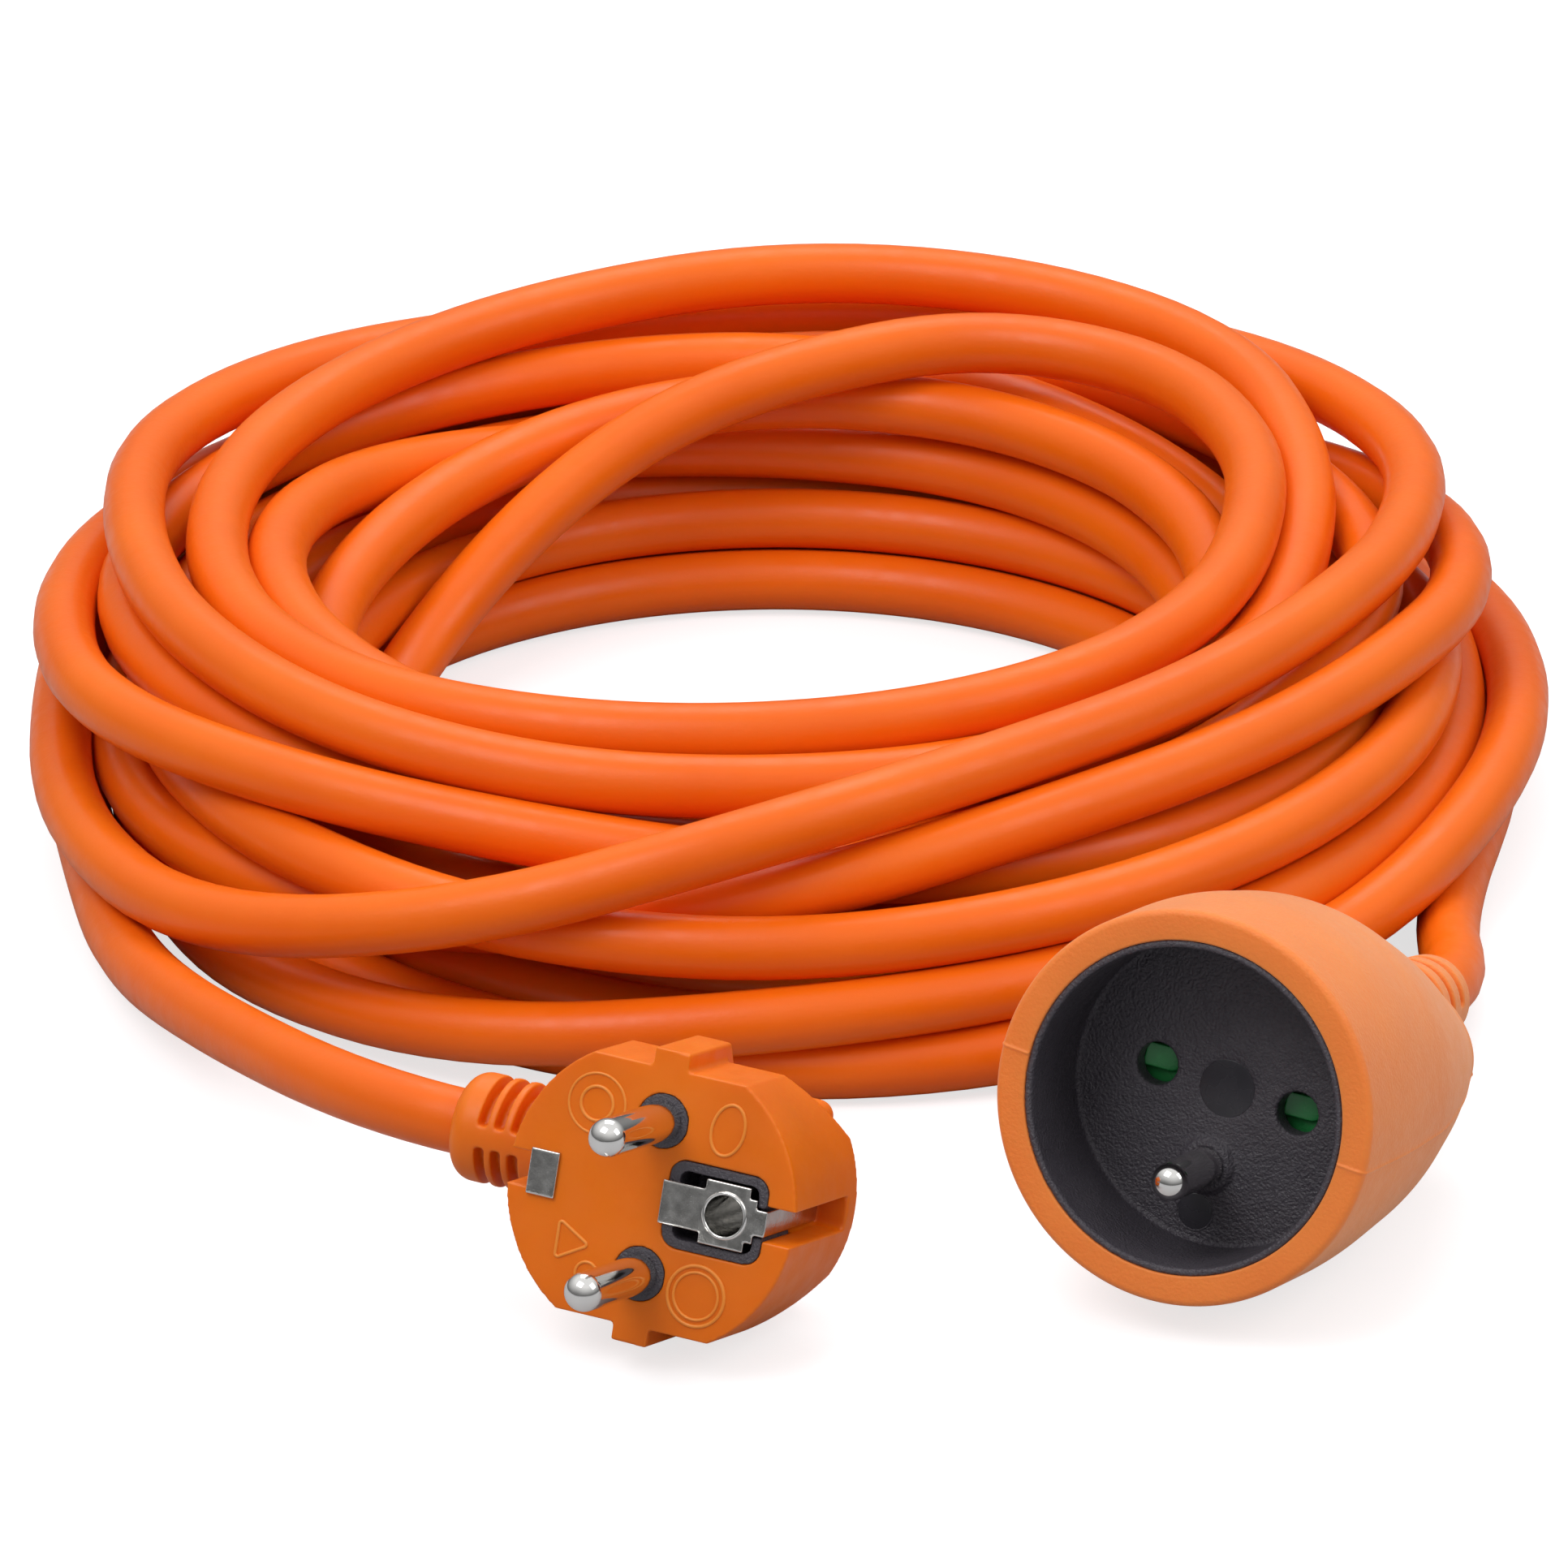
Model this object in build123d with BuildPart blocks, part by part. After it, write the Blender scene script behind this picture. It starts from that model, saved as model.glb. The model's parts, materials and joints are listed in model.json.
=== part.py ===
"""Extension cord: a hank of round sheathed cable with an angled two-pin plug on
one end and a shuttered trailing socket on the other. Millimetres, +Z up, the
hank lies flat on z = 0 and the origin is under the middle of the whole object."""
from build123d import *
from math import acos, cos, pi, radians, sin, tan
import os

os.makedirs("parts", exist_ok=True)

# ---- driving dimensions ----------------------------------------------------
CORD_R = 4.1                 # round PVC sheath over three 1.5 mm2 cores
CORE_R = 1.45                # one insulated core
SHIFT_X, SHIFT_Y = 0.0, 44.3  # middle of the hank, seen from the origin

HANK_OUT, HANK_IN, HANK_H = 101.0, 57.0, 39.0
HANK_FOOT_FILLET, HANK_TOP_FILLET = 6.0, 15.0

PIN_R, PIN_LEN, PIN_PITCH = 2.4, 19.0, 19.0
PIN_NOSE = 2.25              # rounding of a pin's end, nearly a half ball
PIN_SHANK_R, PIN_ROOT = 2.0, 0.1      # thinner shank, from just above the moulding down
CRIMP_DEEP = 4.0             # hole for the core in the end of a pin
EARTH_OFFSET = 10.0          # earth hole and earth pin, off the line of the pins
EARTH_PIN_LEN = 14.0

PLUG_R, PLUG_FLAT = 18.9, 16.0
PLUG_HEAD, PLUG_BACK = 12.0, 20.0     # depth of the full head, and of its back face
PLUG_BACK_HALF = 8.6
HUMP_HALF, HUMP_END, HUMP_BACK = 11.3, 12.0, 27.0
CABLE_DEPTH = 18.0           # cable axis behind the plug face
BOOT_START, BOOT_END, BOOT_R = 17.0, 32.5, 6.8

SOCKET_R, INSERT_R, RECESS_R = 24.4, 20.6, 19.7
RECESS_DEPTH, INSERT_FLOOR = 15.0, 3.0
SOCKET_LEN, TAIL_LEN = 60.0, 86.0
HOLE_R = 2.65
FIT = 0.05                   # running clearance of the shutter in its track


def face_plane(centre, heading, tilt, roll):
    """Plane of a plug or socket face: z looks out of it, x runs along it."""
    h, t, r = radians(heading), radians(tilt), radians(roll)
    out = Vector(cos(t) * cos(h), cos(t) * sin(h), sin(t))
    side = Vector(-sin(h), cos(h), 0)
    up = out.cross(side)
    return Plane(origin=centre, x_dir=side * cos(r) + up * sin(r), z_dir=out)


PLUG = face_plane((SHIFT_X - 16.1, SHIFT_Y - 170.3, 21.25), -113.3, 16.7, -2.5)
PLUG_SIDE = Plane(origin=PLUG.origin, x_dir=PLUG.y_dir, z_dir=PLUG.x_dir)
SOCKET = face_plane((SHIFT_X + 48.1, SHIFT_Y - 161.3, 28.8), -113.7, 13.9, -9.1)
SOCKET_SIDE = Plane(origin=SOCKET.origin, x_dir=SOCKET.y_dir, z_dir=SOCKET.x_dir)


def at(plane, x, y, z):
    """World point of a place given in a plane's own axes."""
    return plane.from_local_coords(Vector(x, y, z))


def cross_plane(plane, x, y, z):
    """Plane through a local point, looking back along the parent's -x."""
    return Plane(origin=at(plane, x, y, z), x_dir=plane.y_dir, z_dir=plane.x_dir * -1)


def turn_radius(points, i):
    """Radius that leaves straight cord on both sides of corner i."""
    a, b = points[i] - points[i - 1], points[i + 1] - points[i]
    turn = acos(a.normalized().dot(b.normalized()))
    return 0.45 * min(a.length, b.length) / tan(turn / 2)


def rounded_route(points):
    """The bend radii of a route, printed for checking."""
    radii = [turn_radius(points, i) for i in range(1, len(points) - 1)]
    print("bend radii", [round(r, 1) for r in radii])
    return radii


# ---- plug pins: turned brass, nickel plated, with a crimp barrel behind ------
PIN_TAIL = 11.0
COLLAR_R, COLLAR_DEEP, COLLAR_T = 3.0, 8.0, 1.2      # keeps the pin from pulling out
pins = {}
for pin_name, side in (("plug_line_pin", 1), ("plug_neutral_pin", -1)):
    with BuildPart() as pin:
        with BuildSketch(PLUG.offset(PIN_ROOT)):
            with Locations((0, side * PIN_PITCH / 2)):
                Circle(PIN_R)
        extrude(amount=PIN_LEN - PIN_ROOT)
        fillet(pin.edges().sort_by(Axis(PLUG.origin, PLUG.z_dir))[-1], PIN_NOSE)
        with BuildSketch(PLUG.offset(-PIN_TAIL)):
            with Locations((0, side * PIN_PITCH / 2)):
                Circle(PIN_SHANK_R)
        extrude(amount=PIN_TAIL + PIN_ROOT)
        with BuildSketch(PLUG.offset(-COLLAR_DEEP)):
            with Locations((0, side * PIN_PITCH / 2)):
                Circle(COLLAR_R)
        extrude(amount=COLLAR_T)
        with BuildSketch(PLUG.offset(-PIN_TAIL)):
            with Locations((0, side * PIN_PITCH / 2)):
                Circle(CORE_R)
        extrude(amount=CRIMP_DEEP, mode=Mode.SUBTRACT)
    pin.part.label = pin_name
    export_step(pin.part, f"parts/{pin_name}.step")
    pins[pin_name] = pin.part

# ---- plug earth contact: one bent strip with the socket tube -----------------
SHEET, PROUD = 0.6, 0.5      # strip thickness, and how far its plate stands out
TUBE_OUT, TUBE_IN = 3.05, 2.5
TUBE_END, BARREL_END, BARREL_R = 14.0, 19.0, 2.1     # tube floor, and its crimp barrel
STRAP_HALF = 1.6
SLOT_FLOOR, NOTCH_FLOOR = 14.8, 15.4
STRAP_DEEP = 16.0            # end of the strip in the side slot
CROSS_DEEP = 13.2            # back of the strip that crosses under the tube
NECK_START, PLATE_START, EARS_START, EARS_END = 1.5, 1.5, 7.0, 12.9
PLATE_END = 13.9
PLATE_HALF, EARS_HALF, EAR_T, EAR_DEEP = 2.7, 4.0, 0.5, 6.0
HOOK_START, HOOK_END, HOOK_HALF, HOOK_LIP = 12.3, 16.0, 2.85, 2.0


def x_strip(start, end, half):
    """Rectangle from start to end along a face's x axis, in the current sketch."""
    with Locations(((start + end) / 2, 0)):
        Rectangle(abs(end - start), 2 * half)


with BuildPart() as plug_earth_contact:
    with BuildSketch(PLUG):
        x_strip(NECK_START, SLOT_FLOOR + SHEET, STRAP_HALF)
        x_strip(PLATE_START, PLATE_END, PLATE_HALF)
        x_strip(EARS_START, EARS_END, EARS_HALF)
    extrude(amount=PROUD)
    with BuildSketch(PLUG):
        for ear in (EARS_HALF - EAR_T / 2, -EARS_HALF + EAR_T / 2):
            with Locations(((EARS_START + EARS_END) / 2, ear)):
                Rectangle(EARS_END - EARS_START, EAR_T)
    extrude(amount=-EAR_DEEP)
    with BuildSketch(PLUG.offset(PROUD)):
        with Locations((EARTH_OFFSET, 0)):
            Circle(TUBE_OUT)
    extrude(amount=-(TUBE_END + PROUD))
    with BuildSketch(PLUG.offset(-TUBE_END)):
        with Locations((EARTH_OFFSET, 0)):
            Circle(BARREL_R)
    extrude(amount=-(BARREL_END - TUBE_END))
    with BuildSketch(PLUG.offset(-STRAP_DEEP)):
        x_strip(SLOT_FLOOR, SLOT_FLOOR + SHEET, STRAP_HALF)
    extrude(amount=STRAP_DEEP + PROUD)
    with BuildSketch(PLUG.offset(-CROSS_DEEP)):
        x_strip(-NOTCH_FLOOR - SHEET, EARTH_OFFSET, STRAP_HALF)
    extrude(amount=SHEET)
    with BuildSketch(PLUG.offset(-CROSS_DEEP)):
        x_strip(-NOTCH_FLOOR - SHEET, -NOTCH_FLOOR, STRAP_HALF)
    extrude(amount=CROSS_DEEP + PROUD)
    with BuildSketch(PLUG):
        x_strip(-HOOK_END, -HOOK_START, HOOK_HALF)
    extrude(amount=PROUD)
    with BuildSketch(PLUG.offset(-HOOK_LIP)):
        x_strip(-HOOK_START - EAR_T, -HOOK_START, HOOK_HALF)
    extrude(amount=HOOK_LIP + PROUD)
    with BuildSketch(PLUG.offset(PROUD)):
        with Locations((EARTH_OFFSET, 0)):
            Circle(TUBE_IN)
    extrude(amount=-(TUBE_END - PROUD), mode=Mode.SUBTRACT)
    with BuildSketch(PLUG.offset(-BARREL_END)):
        with Locations((EARTH_OFFSET, 0)):
            Circle(CORE_R)
    extrude(amount=CRIMP_DEEP - PROUD, mode=Mode.SUBTRACT)
plug_earth_contact.part.label = "plug_earth_contact"
export_step(plug_earth_contact.part, "parts/plug_earth_contact.step")

# ---- plug cores: from the end of the sheath to the pins and the earth strip ---
SHEATH_END = -9.0
CORE_PITCH, EARTH_CORE_DROP = 1.9, 2.4       # the three cores round the cable axis
CORE_FAN = -4.0                              # where the cores part
PIN_CORE_TURN = CABLE_DEPTH - 1.0
EARTH_CORE_DEEP, EARTH_CORE_OUT = 22.5, 3.0
CORE_BEND = 2.2
PIN_CORE_END, EARTH_CORE_END = PIN_TAIL - CRIMP_DEEP, BARREL_END - CRIMP_DEEP + PROUD
core_routes = {
    "plug_core_brown": ((SHEATH_END, CORE_PITCH, -CABLE_DEPTH), (CORE_FAN, CORE_PITCH, -CABLE_DEPTH),
                        (0, PIN_PITCH / 2, -PIN_CORE_TURN), (0, PIN_PITCH / 2, -PIN_CORE_END)),
    "plug_core_blue": ((SHEATH_END, -CORE_PITCH, -CABLE_DEPTH), (CORE_FAN, -CORE_PITCH, -CABLE_DEPTH),
                       (0, -PIN_PITCH / 2, -PIN_CORE_TURN), (0, -PIN_PITCH / 2, -PIN_CORE_END)),
    "plug_core_earth": ((SHEATH_END, 0, -CABLE_DEPTH - EARTH_CORE_DROP),
                        (CORE_FAN, 0, -CABLE_DEPTH - EARTH_CORE_DROP),
                        (EARTH_CORE_OUT, 0, -EARTH_CORE_DEEP), (EARTH_OFFSET, 0, -EARTH_CORE_DEEP),
                        (EARTH_OFFSET, 0, -EARTH_CORE_END)),
}


def build_core(name, face, stops):
    """One insulated core, swept through stops given in the axes of its face."""
    with BuildPart() as core:
        with BuildLine() as core_line:
            FilletPolyline(*[at(face, *stop) for stop in stops], radius=CORE_BEND)
        with BuildSketch(Plane(core_line.line @ 0, z_dir=core_line.line % 0)):
            Circle(CORE_R)
        sweep()
    core.part.label = name
    export_step(core.part, f"parts/{name}.step")
    return core.part


plug_cores = [build_core(name, PLUG, stops) for name, stops in core_routes.items()]

# ---- plug carrier: black moulding that holds pins and contact in line --------
PIN_RING_R = 3.35
FRAME_MID, FRAME_LONG, FRAME_WIDE, FRAME_CORNER = 8.5, 13.0, 10.8, 2.0
WELL_MID, WELL_LONG, WELL_WIDE, WELL_DEEP, WELL_CORNER = 8.6, 10.4, 8.4, 6.5, 1.2
BRIDGE_MID, BRIDGE_LONG, BRIDGE_WIDE, BRIDGE_CORNER = 5.4, 19.2, 26.0, 4.0
BRIDGE_FRONT, BRIDGE_BACK, RING_BACK = 5.0, 9.0, 7.0
SLOT_WIDE, SLOT_CUT = 4.2, 17.0
STRAP_GAP, STRAP_CUT_START, STRAP_CUT_END = 0.2, 13.5, 14.9
with BuildPart() as plug_contact_carrier:
    with BuildSketch(PLUG):
        with Locations((0, PIN_PITCH / 2), (0, -PIN_PITCH / 2)):
            Circle(PIN_RING_R)
        with Locations((FRAME_MID, 0)):
            RectangleRounded(FRAME_LONG, FRAME_WIDE, FRAME_CORNER)
    extrude(amount=-RING_BACK)
    with BuildSketch(PLUG.offset(-BRIDGE_FRONT)):
        with Locations((BRIDGE_MID, 0)):
            RectangleRounded(BRIDGE_LONG, BRIDGE_WIDE, BRIDGE_CORNER)
    extrude(amount=-(BRIDGE_BACK - BRIDGE_FRONT))
    with BuildSketch(PLUG):
        with Locations((WELL_MID, 0)):
            RectangleRounded(WELL_LONG, WELL_WIDE, WELL_CORNER)
    extrude(amount=-WELL_DEEP, mode=Mode.SUBTRACT)
    with BuildSketch(PLUG):
        x_strip(SLOT_FLOOR, 2 * SLOT_CUT - SLOT_FLOOR, SLOT_WIDE / 2)
    extrude(amount=-BRIDGE_BACK, mode=Mode.SUBTRACT)
    with BuildSketch(PLUG):
        x_strip(STRAP_CUT_START, STRAP_CUT_END, STRAP_HALF + STRAP_GAP)
    extrude(amount=-SHEET - PROUD, mode=Mode.SUBTRACT)
    with BuildSketch(PLUG):
        with Locations((0, PIN_PITCH / 2), (0, -PIN_PITCH / 2)):
            Circle(PIN_SHANK_R)
        with Locations((EARTH_OFFSET, 0)):
            Circle(TUBE_OUT)
    extrude(amount=-BRIDGE_BACK, mode=Mode.SUBTRACT)
    for inner in (*pins.values(), plug_earth_contact.part):
        add(inner, mode=Mode.SUBTRACT)
plug_contact_carrier.part.label = "plug_contact_carrier"
export_step(plug_contact_carrier.part, "parts/plug_contact_carrier.step")

# ---- hank and its two free ends --------------------------------------------
hank_mid = (SHIFT_X, SHIFT_Y, 0)
with BuildPart() as cable_coil:
    with BuildSketch(Plane(origin=hank_mid, x_dir=(1, 0, 0), z_dir=(0, -1, 0))) as section:
        with Locations(((HANK_OUT + HANK_IN) / 2, HANK_H / 2)):
            Rectangle(HANK_OUT - HANK_IN, HANK_H)
        fillet(section.vertices().sort_by(Axis.Y)[:2], HANK_FOOT_FILLET)
        fillet(section.vertices().sort_by(Axis.Y)[-2:], HANK_TOP_FILLET)
    revolve(axis=Axis(hank_mid, (0, 0, 1)))
cable_coil.part.label = "cable_coil"
export_step(cable_coil.part, "parts/cable_coil.step")

PLUG_STRAIGHT, SOCKET_STRAIGHT = 20.0, 12.0   # straight cord outside each strain relief
plug_exit = at(PLUG, -BOOT_END, 0, -CABLE_DEPTH)
plug_lead_points = [
    plug_exit,
    at(PLUG, -BOOT_END - PLUG_STRAIGHT, 0, -CABLE_DEPTH),
    Vector(SHIFT_X - 74.5, SHIFT_Y - 100.0, 11.0),
    Vector(SHIFT_X - 84.5, SHIFT_Y - 68.0, 5.6),
    Vector(SHIFT_X - 91.0, SHIFT_Y - 40.0, 5.0),
]
socket_exit = at(SOCKET, 0, 0, -TAIL_LEN)
socket_lead_points = [
    socket_exit,
    at(SOCKET, 0, 0, -TAIL_LEN - SOCKET_STRAIGHT),
    Vector(SHIFT_X + 84.3, SHIFT_Y - 52.0, 4.6),
]
for lead_name, lead_points in (("plug_lead", plug_lead_points), ("socket_lead", socket_lead_points)):
    with BuildPart() as lead:
        with BuildLine() as lead_line:
            FilletPolyline(*lead_points, radius=min(rounded_route(lead_points)))
        with BuildSketch(Plane(lead_line.line @ 0, z_dir=lead_line.line % 0)):
            Circle(CORD_R)
        sweep()
    swept = pi * CORD_R ** 2 * lead_line.wires()[0].length
    print(lead_name, "volume", round(lead.part.volume), "section x length", round(swept))
    lead.part.label = lead_name
    export_step(lead.part, f"parts/{lead_name}.step")

# ---- sheath inside the plug, cut back from the three cores -------------------
with BuildPart() as plug_sheath_end:
    with BuildSketch(cross_plane(PLUG, SHEATH_END, 0, -CABLE_DEPTH)):
        Circle(CORD_R)
    extrude(amount=BOOT_END + SHEATH_END)
plug_sheath_end.part.label = "plug_sheath_end"
export_step(plug_sheath_end.part, "parts/plug_sheath_end.step")

# ---- plug boot: flexible sleeve with three rows of open slots ----------------
BOOT_TIP_FILLET = 2.4
BOOT_SLOTS, BOOT_SLOT_WIDE = (23.2, 25.5, 27.7), 1.3
BOOT_BAND_HALF, BOOT_SKIN = 1.35, 0.7        # solid band between the slots, sleeve under them
with BuildPart() as plug_boot:
    with BuildSketch(cross_plane(PLUG, -BOOT_START, 0, -CABLE_DEPTH)):
        Circle(BOOT_R)
    extrude(amount=BOOT_END - BOOT_START)
    tip = plug_boot.faces().sort_by(Axis(PLUG.origin, PLUG.x_dir * -1))[-1]
    fillet(tip.edges(), BOOT_TIP_FILLET)
    for slot in BOOT_SLOTS:
        with BuildSketch(cross_plane(PLUG, -slot + BOOT_SLOT_WIDE / 2, 0, -CABLE_DEPTH)):
            Circle(BOOT_R + 1)
            Circle(CORD_R + BOOT_SKIN, mode=Mode.SUBTRACT)
            Rectangle(2 * BOOT_BAND_HALF, 4 * BOOT_R, mode=Mode.SUBTRACT)
        extrude(amount=BOOT_SLOT_WIDE, mode=Mode.SUBTRACT)
    add(plug_sheath_end.part, mode=Mode.SUBTRACT)
plug_boot.part.label = "plug_boot"
export_step(plug_boot.part, "parts/plug_boot.step")

# ---- plug body: orange overmould around the carrier, contacts and cable ------
KEY_OUT, KEY_HEAD, KEY_IN, KEY_BACK, KEY_HALF = 18.2, 13.0, 14.5, 15.5, 2.3    # side ribs
HUMP_CORNER, BACK_FILLET = 2.0, 1.6
NOTCH_DEEP = 12.6
with BuildPart() as plug_body:
    with BuildSketch(PLUG):
        Circle(PLUG_R)
    extrude(amount=-PLUG_BACK)
    with BuildSketch(PLUG_SIDE):
        with BuildLine():
            Polyline((PLUG_FLAT, 0), (PLUG_FLAT, -PLUG_HEAD), (PLUG_BACK_HALF, -PLUG_BACK),
                     (-PLUG_BACK_HALF, -PLUG_BACK), (-PLUG_FLAT, -PLUG_HEAD), (-PLUG_FLAT, 0),
                     close=True)
        make_face()
    extrude(amount=PLUG_R + 1, both=True, mode=Mode.INTERSECT)
    with BuildSketch(PLUG_SIDE):
        with BuildLine():
            Polyline((KEY_OUT, 0), (KEY_OUT, -KEY_HEAD), (KEY_IN, -KEY_BACK), (-KEY_IN, -KEY_BACK),
                     (-KEY_OUT, -KEY_HEAD), (-KEY_OUT, 0), close=True)
        make_face()
    extrude(amount=KEY_HALF, both=True)
    with BuildSketch(PLUG.offset(-PLUG_HEAD - 1.0)):
        with Locations(((HUMP_END - BOOT_START) / 2, 0)):
            RectangleRounded(HUMP_END + BOOT_START, 2 * HUMP_HALF, HUMP_CORNER)
    extrude(amount=-(HUMP_BACK - PLUG_HEAD - 1.0))
    back = plug_body.faces().sort_by(Axis(PLUG.origin, PLUG.z_dir))[0]
    fillet(back.edges(), BACK_FILLET)
    with BuildSketch(PLUG):
        x_strip(SLOT_FLOOR, PLUG_R + PLUG_HEAD / 3, SLOT_WIDE / 2)
    extrude(amount=-SLOT_CUT, mode=Mode.SUBTRACT)
    with BuildSketch(PLUG):
        x_strip(-NOTCH_FLOOR, -PLUG_R - PLUG_HEAD / 3, SLOT_WIDE / 2)
    extrude(amount=-NOTCH_DEEP, mode=Mode.SUBTRACT)
    with BuildSketch(PLUG):
        with Locations((FRAME_MID, 0)):
            RectangleRounded(FRAME_LONG, FRAME_WIDE, FRAME_CORNER)
    extrude(amount=-BRIDGE_BACK, mode=Mode.SUBTRACT)
    with BuildSketch(PLUG):
        with Locations((EARTH_OFFSET, 0)):
            Circle(TUBE_OUT)
    extrude(amount=-TUBE_END, mode=Mode.SUBTRACT)
    for inner in (*pins.values(), *plug_cores, plug_earth_contact.part,
                  plug_contact_carrier.part, plug_sheath_end.part, plug_boot.part):
        add(inner, mode=Mode.SUBTRACT)
plug_body.part.label = "plug_body"
export_step(plug_body.part, "parts/plug_body.step")

# ---- socket insert: black cup with the two pin holes and the earth boss ------
FLOOR_BACK = RECESS_DEPTH + INSERT_FLOOR
BOSS_R, BOSS_H, DISC_R, DISC_DEEP = 3.4, 0.6, 3.75, 0.3
with BuildPart() as socket_insert:
    with BuildSketch(SOCKET):
        Circle(INSERT_R)
    extrude(amount=-FLOOR_BACK)
    with BuildSketch(SOCKET):
        Circle(RECESS_R)
    extrude(amount=-RECESS_DEPTH, mode=Mode.SUBTRACT)
    with BuildSketch(SOCKET.offset(-RECESS_DEPTH)):
        with Locations((0, -EARTH_OFFSET)):
            Circle(BOSS_R)
    extrude(amount=BOSS_H)
    with BuildSketch(SOCKET.offset(-RECESS_DEPTH)):
        Circle(DISC_R)
    extrude(amount=-DISC_DEEP, mode=Mode.SUBTRACT)
    with BuildSketch(SOCKET):
        with Locations((PIN_PITCH / 2, 0), (-PIN_PITCH / 2, 0)):
            Circle(HOLE_R)
        with Locations((0, -EARTH_OFFSET)):
            Circle(PIN_SHANK_R)
    extrude(amount=-FLOOR_BACK, mode=Mode.SUBTRACT)
socket_insert.part.label = "socket_insert"
export_step(socket_insert.part, "parts/socket_insert.step")

# ---- socket carrier: holds the contacts and the track of the shutter ---------
TRACK_DEEP, SHUTTER_HALF = 4.0, 3.9
TRACK_FRONT_HALF, CARRIER_HALF, CARRIER_TALL, CARRIER_CORNER = 20.4, 16.0, 14.0, 5.0
TRACK_STEP, CARRIER_BACK = 24.0, 42.0
EARTH_LUG_Y, EARTH_LUG_WIDE, EARTH_LUG_TALL, EARTH_LUG_CORNER = -8.5, 11.0, 13.0, 3.0
SHUTTER_RIGHT, SHUTTER_LEFT, TRACK_LEFT = 12.0, -12.6, -19.4
CONTACT_R = 3.3
with BuildPart() as socket_carrier:
    with BuildSketch(SOCKET.offset(-FLOOR_BACK)):
        RectangleRounded(2 * TRACK_FRONT_HALF, CARRIER_TALL, CARRIER_CORNER)
    extrude(amount=-(TRACK_STEP - FLOOR_BACK))
    with BuildSketch(SOCKET.offset(-FLOOR_BACK)):
        RectangleRounded(2 * CARRIER_HALF, CARRIER_TALL, CARRIER_CORNER)
        with Locations((0, EARTH_LUG_Y)):
            RectangleRounded(EARTH_LUG_WIDE, EARTH_LUG_TALL, EARTH_LUG_CORNER)
    extrude(amount=-(CARRIER_BACK - FLOOR_BACK))
    with BuildSketch(SOCKET.offset(-FLOOR_BACK)):
        x_strip(TRACK_LEFT, SHUTTER_RIGHT + FIT, SHUTTER_HALF + FIT)
    extrude(amount=-TRACK_DEEP, mode=Mode.SUBTRACT)
    with BuildSketch(SOCKET.offset(-FLOOR_BACK)):
        with Locations((PIN_PITCH / 2, 0), (-PIN_PITCH / 2, 0)):
            Circle(CONTACT_R)
        with Locations((0, -EARTH_OFFSET)):
            Circle(PIN_SHANK_R)
    extrude(amount=-(CARRIER_BACK - FLOOR_BACK), mode=Mode.SUBTRACT)
socket_carrier.part.label = "socket_carrier"
export_step(socket_carrier.part, "parts/socket_carrier.step")

# ---- shutter: one green slide; a ramped tongue stands under each pin hole ----
SHUTTER_TOP = -FLOOR_BACK - FIT
SHUTTER_T = TRACK_DEEP - 2 * FIT
TONGUE_H, TONGUE_HALF, TONGUE_NOSE, TONGUE_HEEL = 1.8, 1.5, 1.9, 2.8
RAMP_END, RAMP_DROP = 2.2, 1.4
WINDOW_START, WINDOW_END, WINDOW_HALF = 2.5, 8.1, 2.8    # past the left hole's axis
with BuildPart() as shutter:
    with BuildSketch(SOCKET.offset(SHUTTER_TOP - TONGUE_H)):
        with Locations(((SHUTTER_LEFT + SHUTTER_RIGHT) / 2, 0)):
            Rectangle(SHUTTER_RIGHT - SHUTTER_LEFT, 2 * SHUTTER_HALF)
    extrude(amount=-(SHUTTER_T - TONGUE_H))
    ramp_plane = Plane(origin=SOCKET.origin, x_dir=SOCKET.x_dir, z_dir=SOCKET.y_dir * -1)
    for hole in (PIN_PITCH / 2, -PIN_PITCH / 2):
        with BuildSketch(SOCKET.offset(SHUTTER_TOP - TONGUE_H)):
            with Locations((hole + TONGUE_NOSE - TONGUE_HALF, 0)):
                Circle(TONGUE_HALF)
            with Locations((hole + (TONGUE_NOSE - TONGUE_HALF - TONGUE_HEEL) / 2, 0)):
                Rectangle(TONGUE_NOSE - TONGUE_HALF + TONGUE_HEEL, 2 * TONGUE_HALF)
        extrude(amount=TONGUE_H)
        with BuildSketch(ramp_plane):
            with BuildLine():
                Polyline((hole - TONGUE_HEEL, SHUTTER_TOP), (hole + RAMP_END, SHUTTER_TOP),
                         (hole + RAMP_END, SHUTTER_TOP - RAMP_DROP), close=True)
            make_face()
        extrude(amount=SHUTTER_HALF, both=True, mode=Mode.SUBTRACT)
    with BuildSketch(SOCKET.offset(SHUTTER_TOP)):
        x_strip(WINDOW_START - PIN_PITCH / 2, WINDOW_END - PIN_PITCH / 2, WINDOW_HALF)
    extrude(amount=-SHUTTER_T, mode=Mode.SUBTRACT)
shutter.part.label = "shutter"
export_step(shutter.part, "parts/shutter.step")

# ---- shutter spring: wire coil between the slide and the end of the track ----
SPRING_R, WIRE_R, SPRING_GAP, SPRING_TURNS = 1.4, 0.2, 0.1, 4
with BuildPart() as shutter_spring:
    with BuildLine() as spring_line:
        seat = at(SOCKET, SHUTTER_LEFT - SPRING_GAP - WIRE_R, 0, -FLOOR_BACK - TRACK_DEEP / 2)
        length = SHUTTER_LEFT - TRACK_LEFT - 2 * SPRING_GAP - 2 * WIRE_R
        Helix(pitch=length / SPRING_TURNS, height=length, radius=SPRING_R, center=seat,
              direction=SOCKET.x_dir * -1)
    with BuildSketch(Plane(spring_line.line @ 0, z_dir=spring_line.line % 0)):
        Circle(WIRE_R)
    sweep(is_frenet=True)
shutter_spring.part.label = "shutter_spring"
export_step(shutter_spring.part, "parts/shutter_spring.step")

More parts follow.
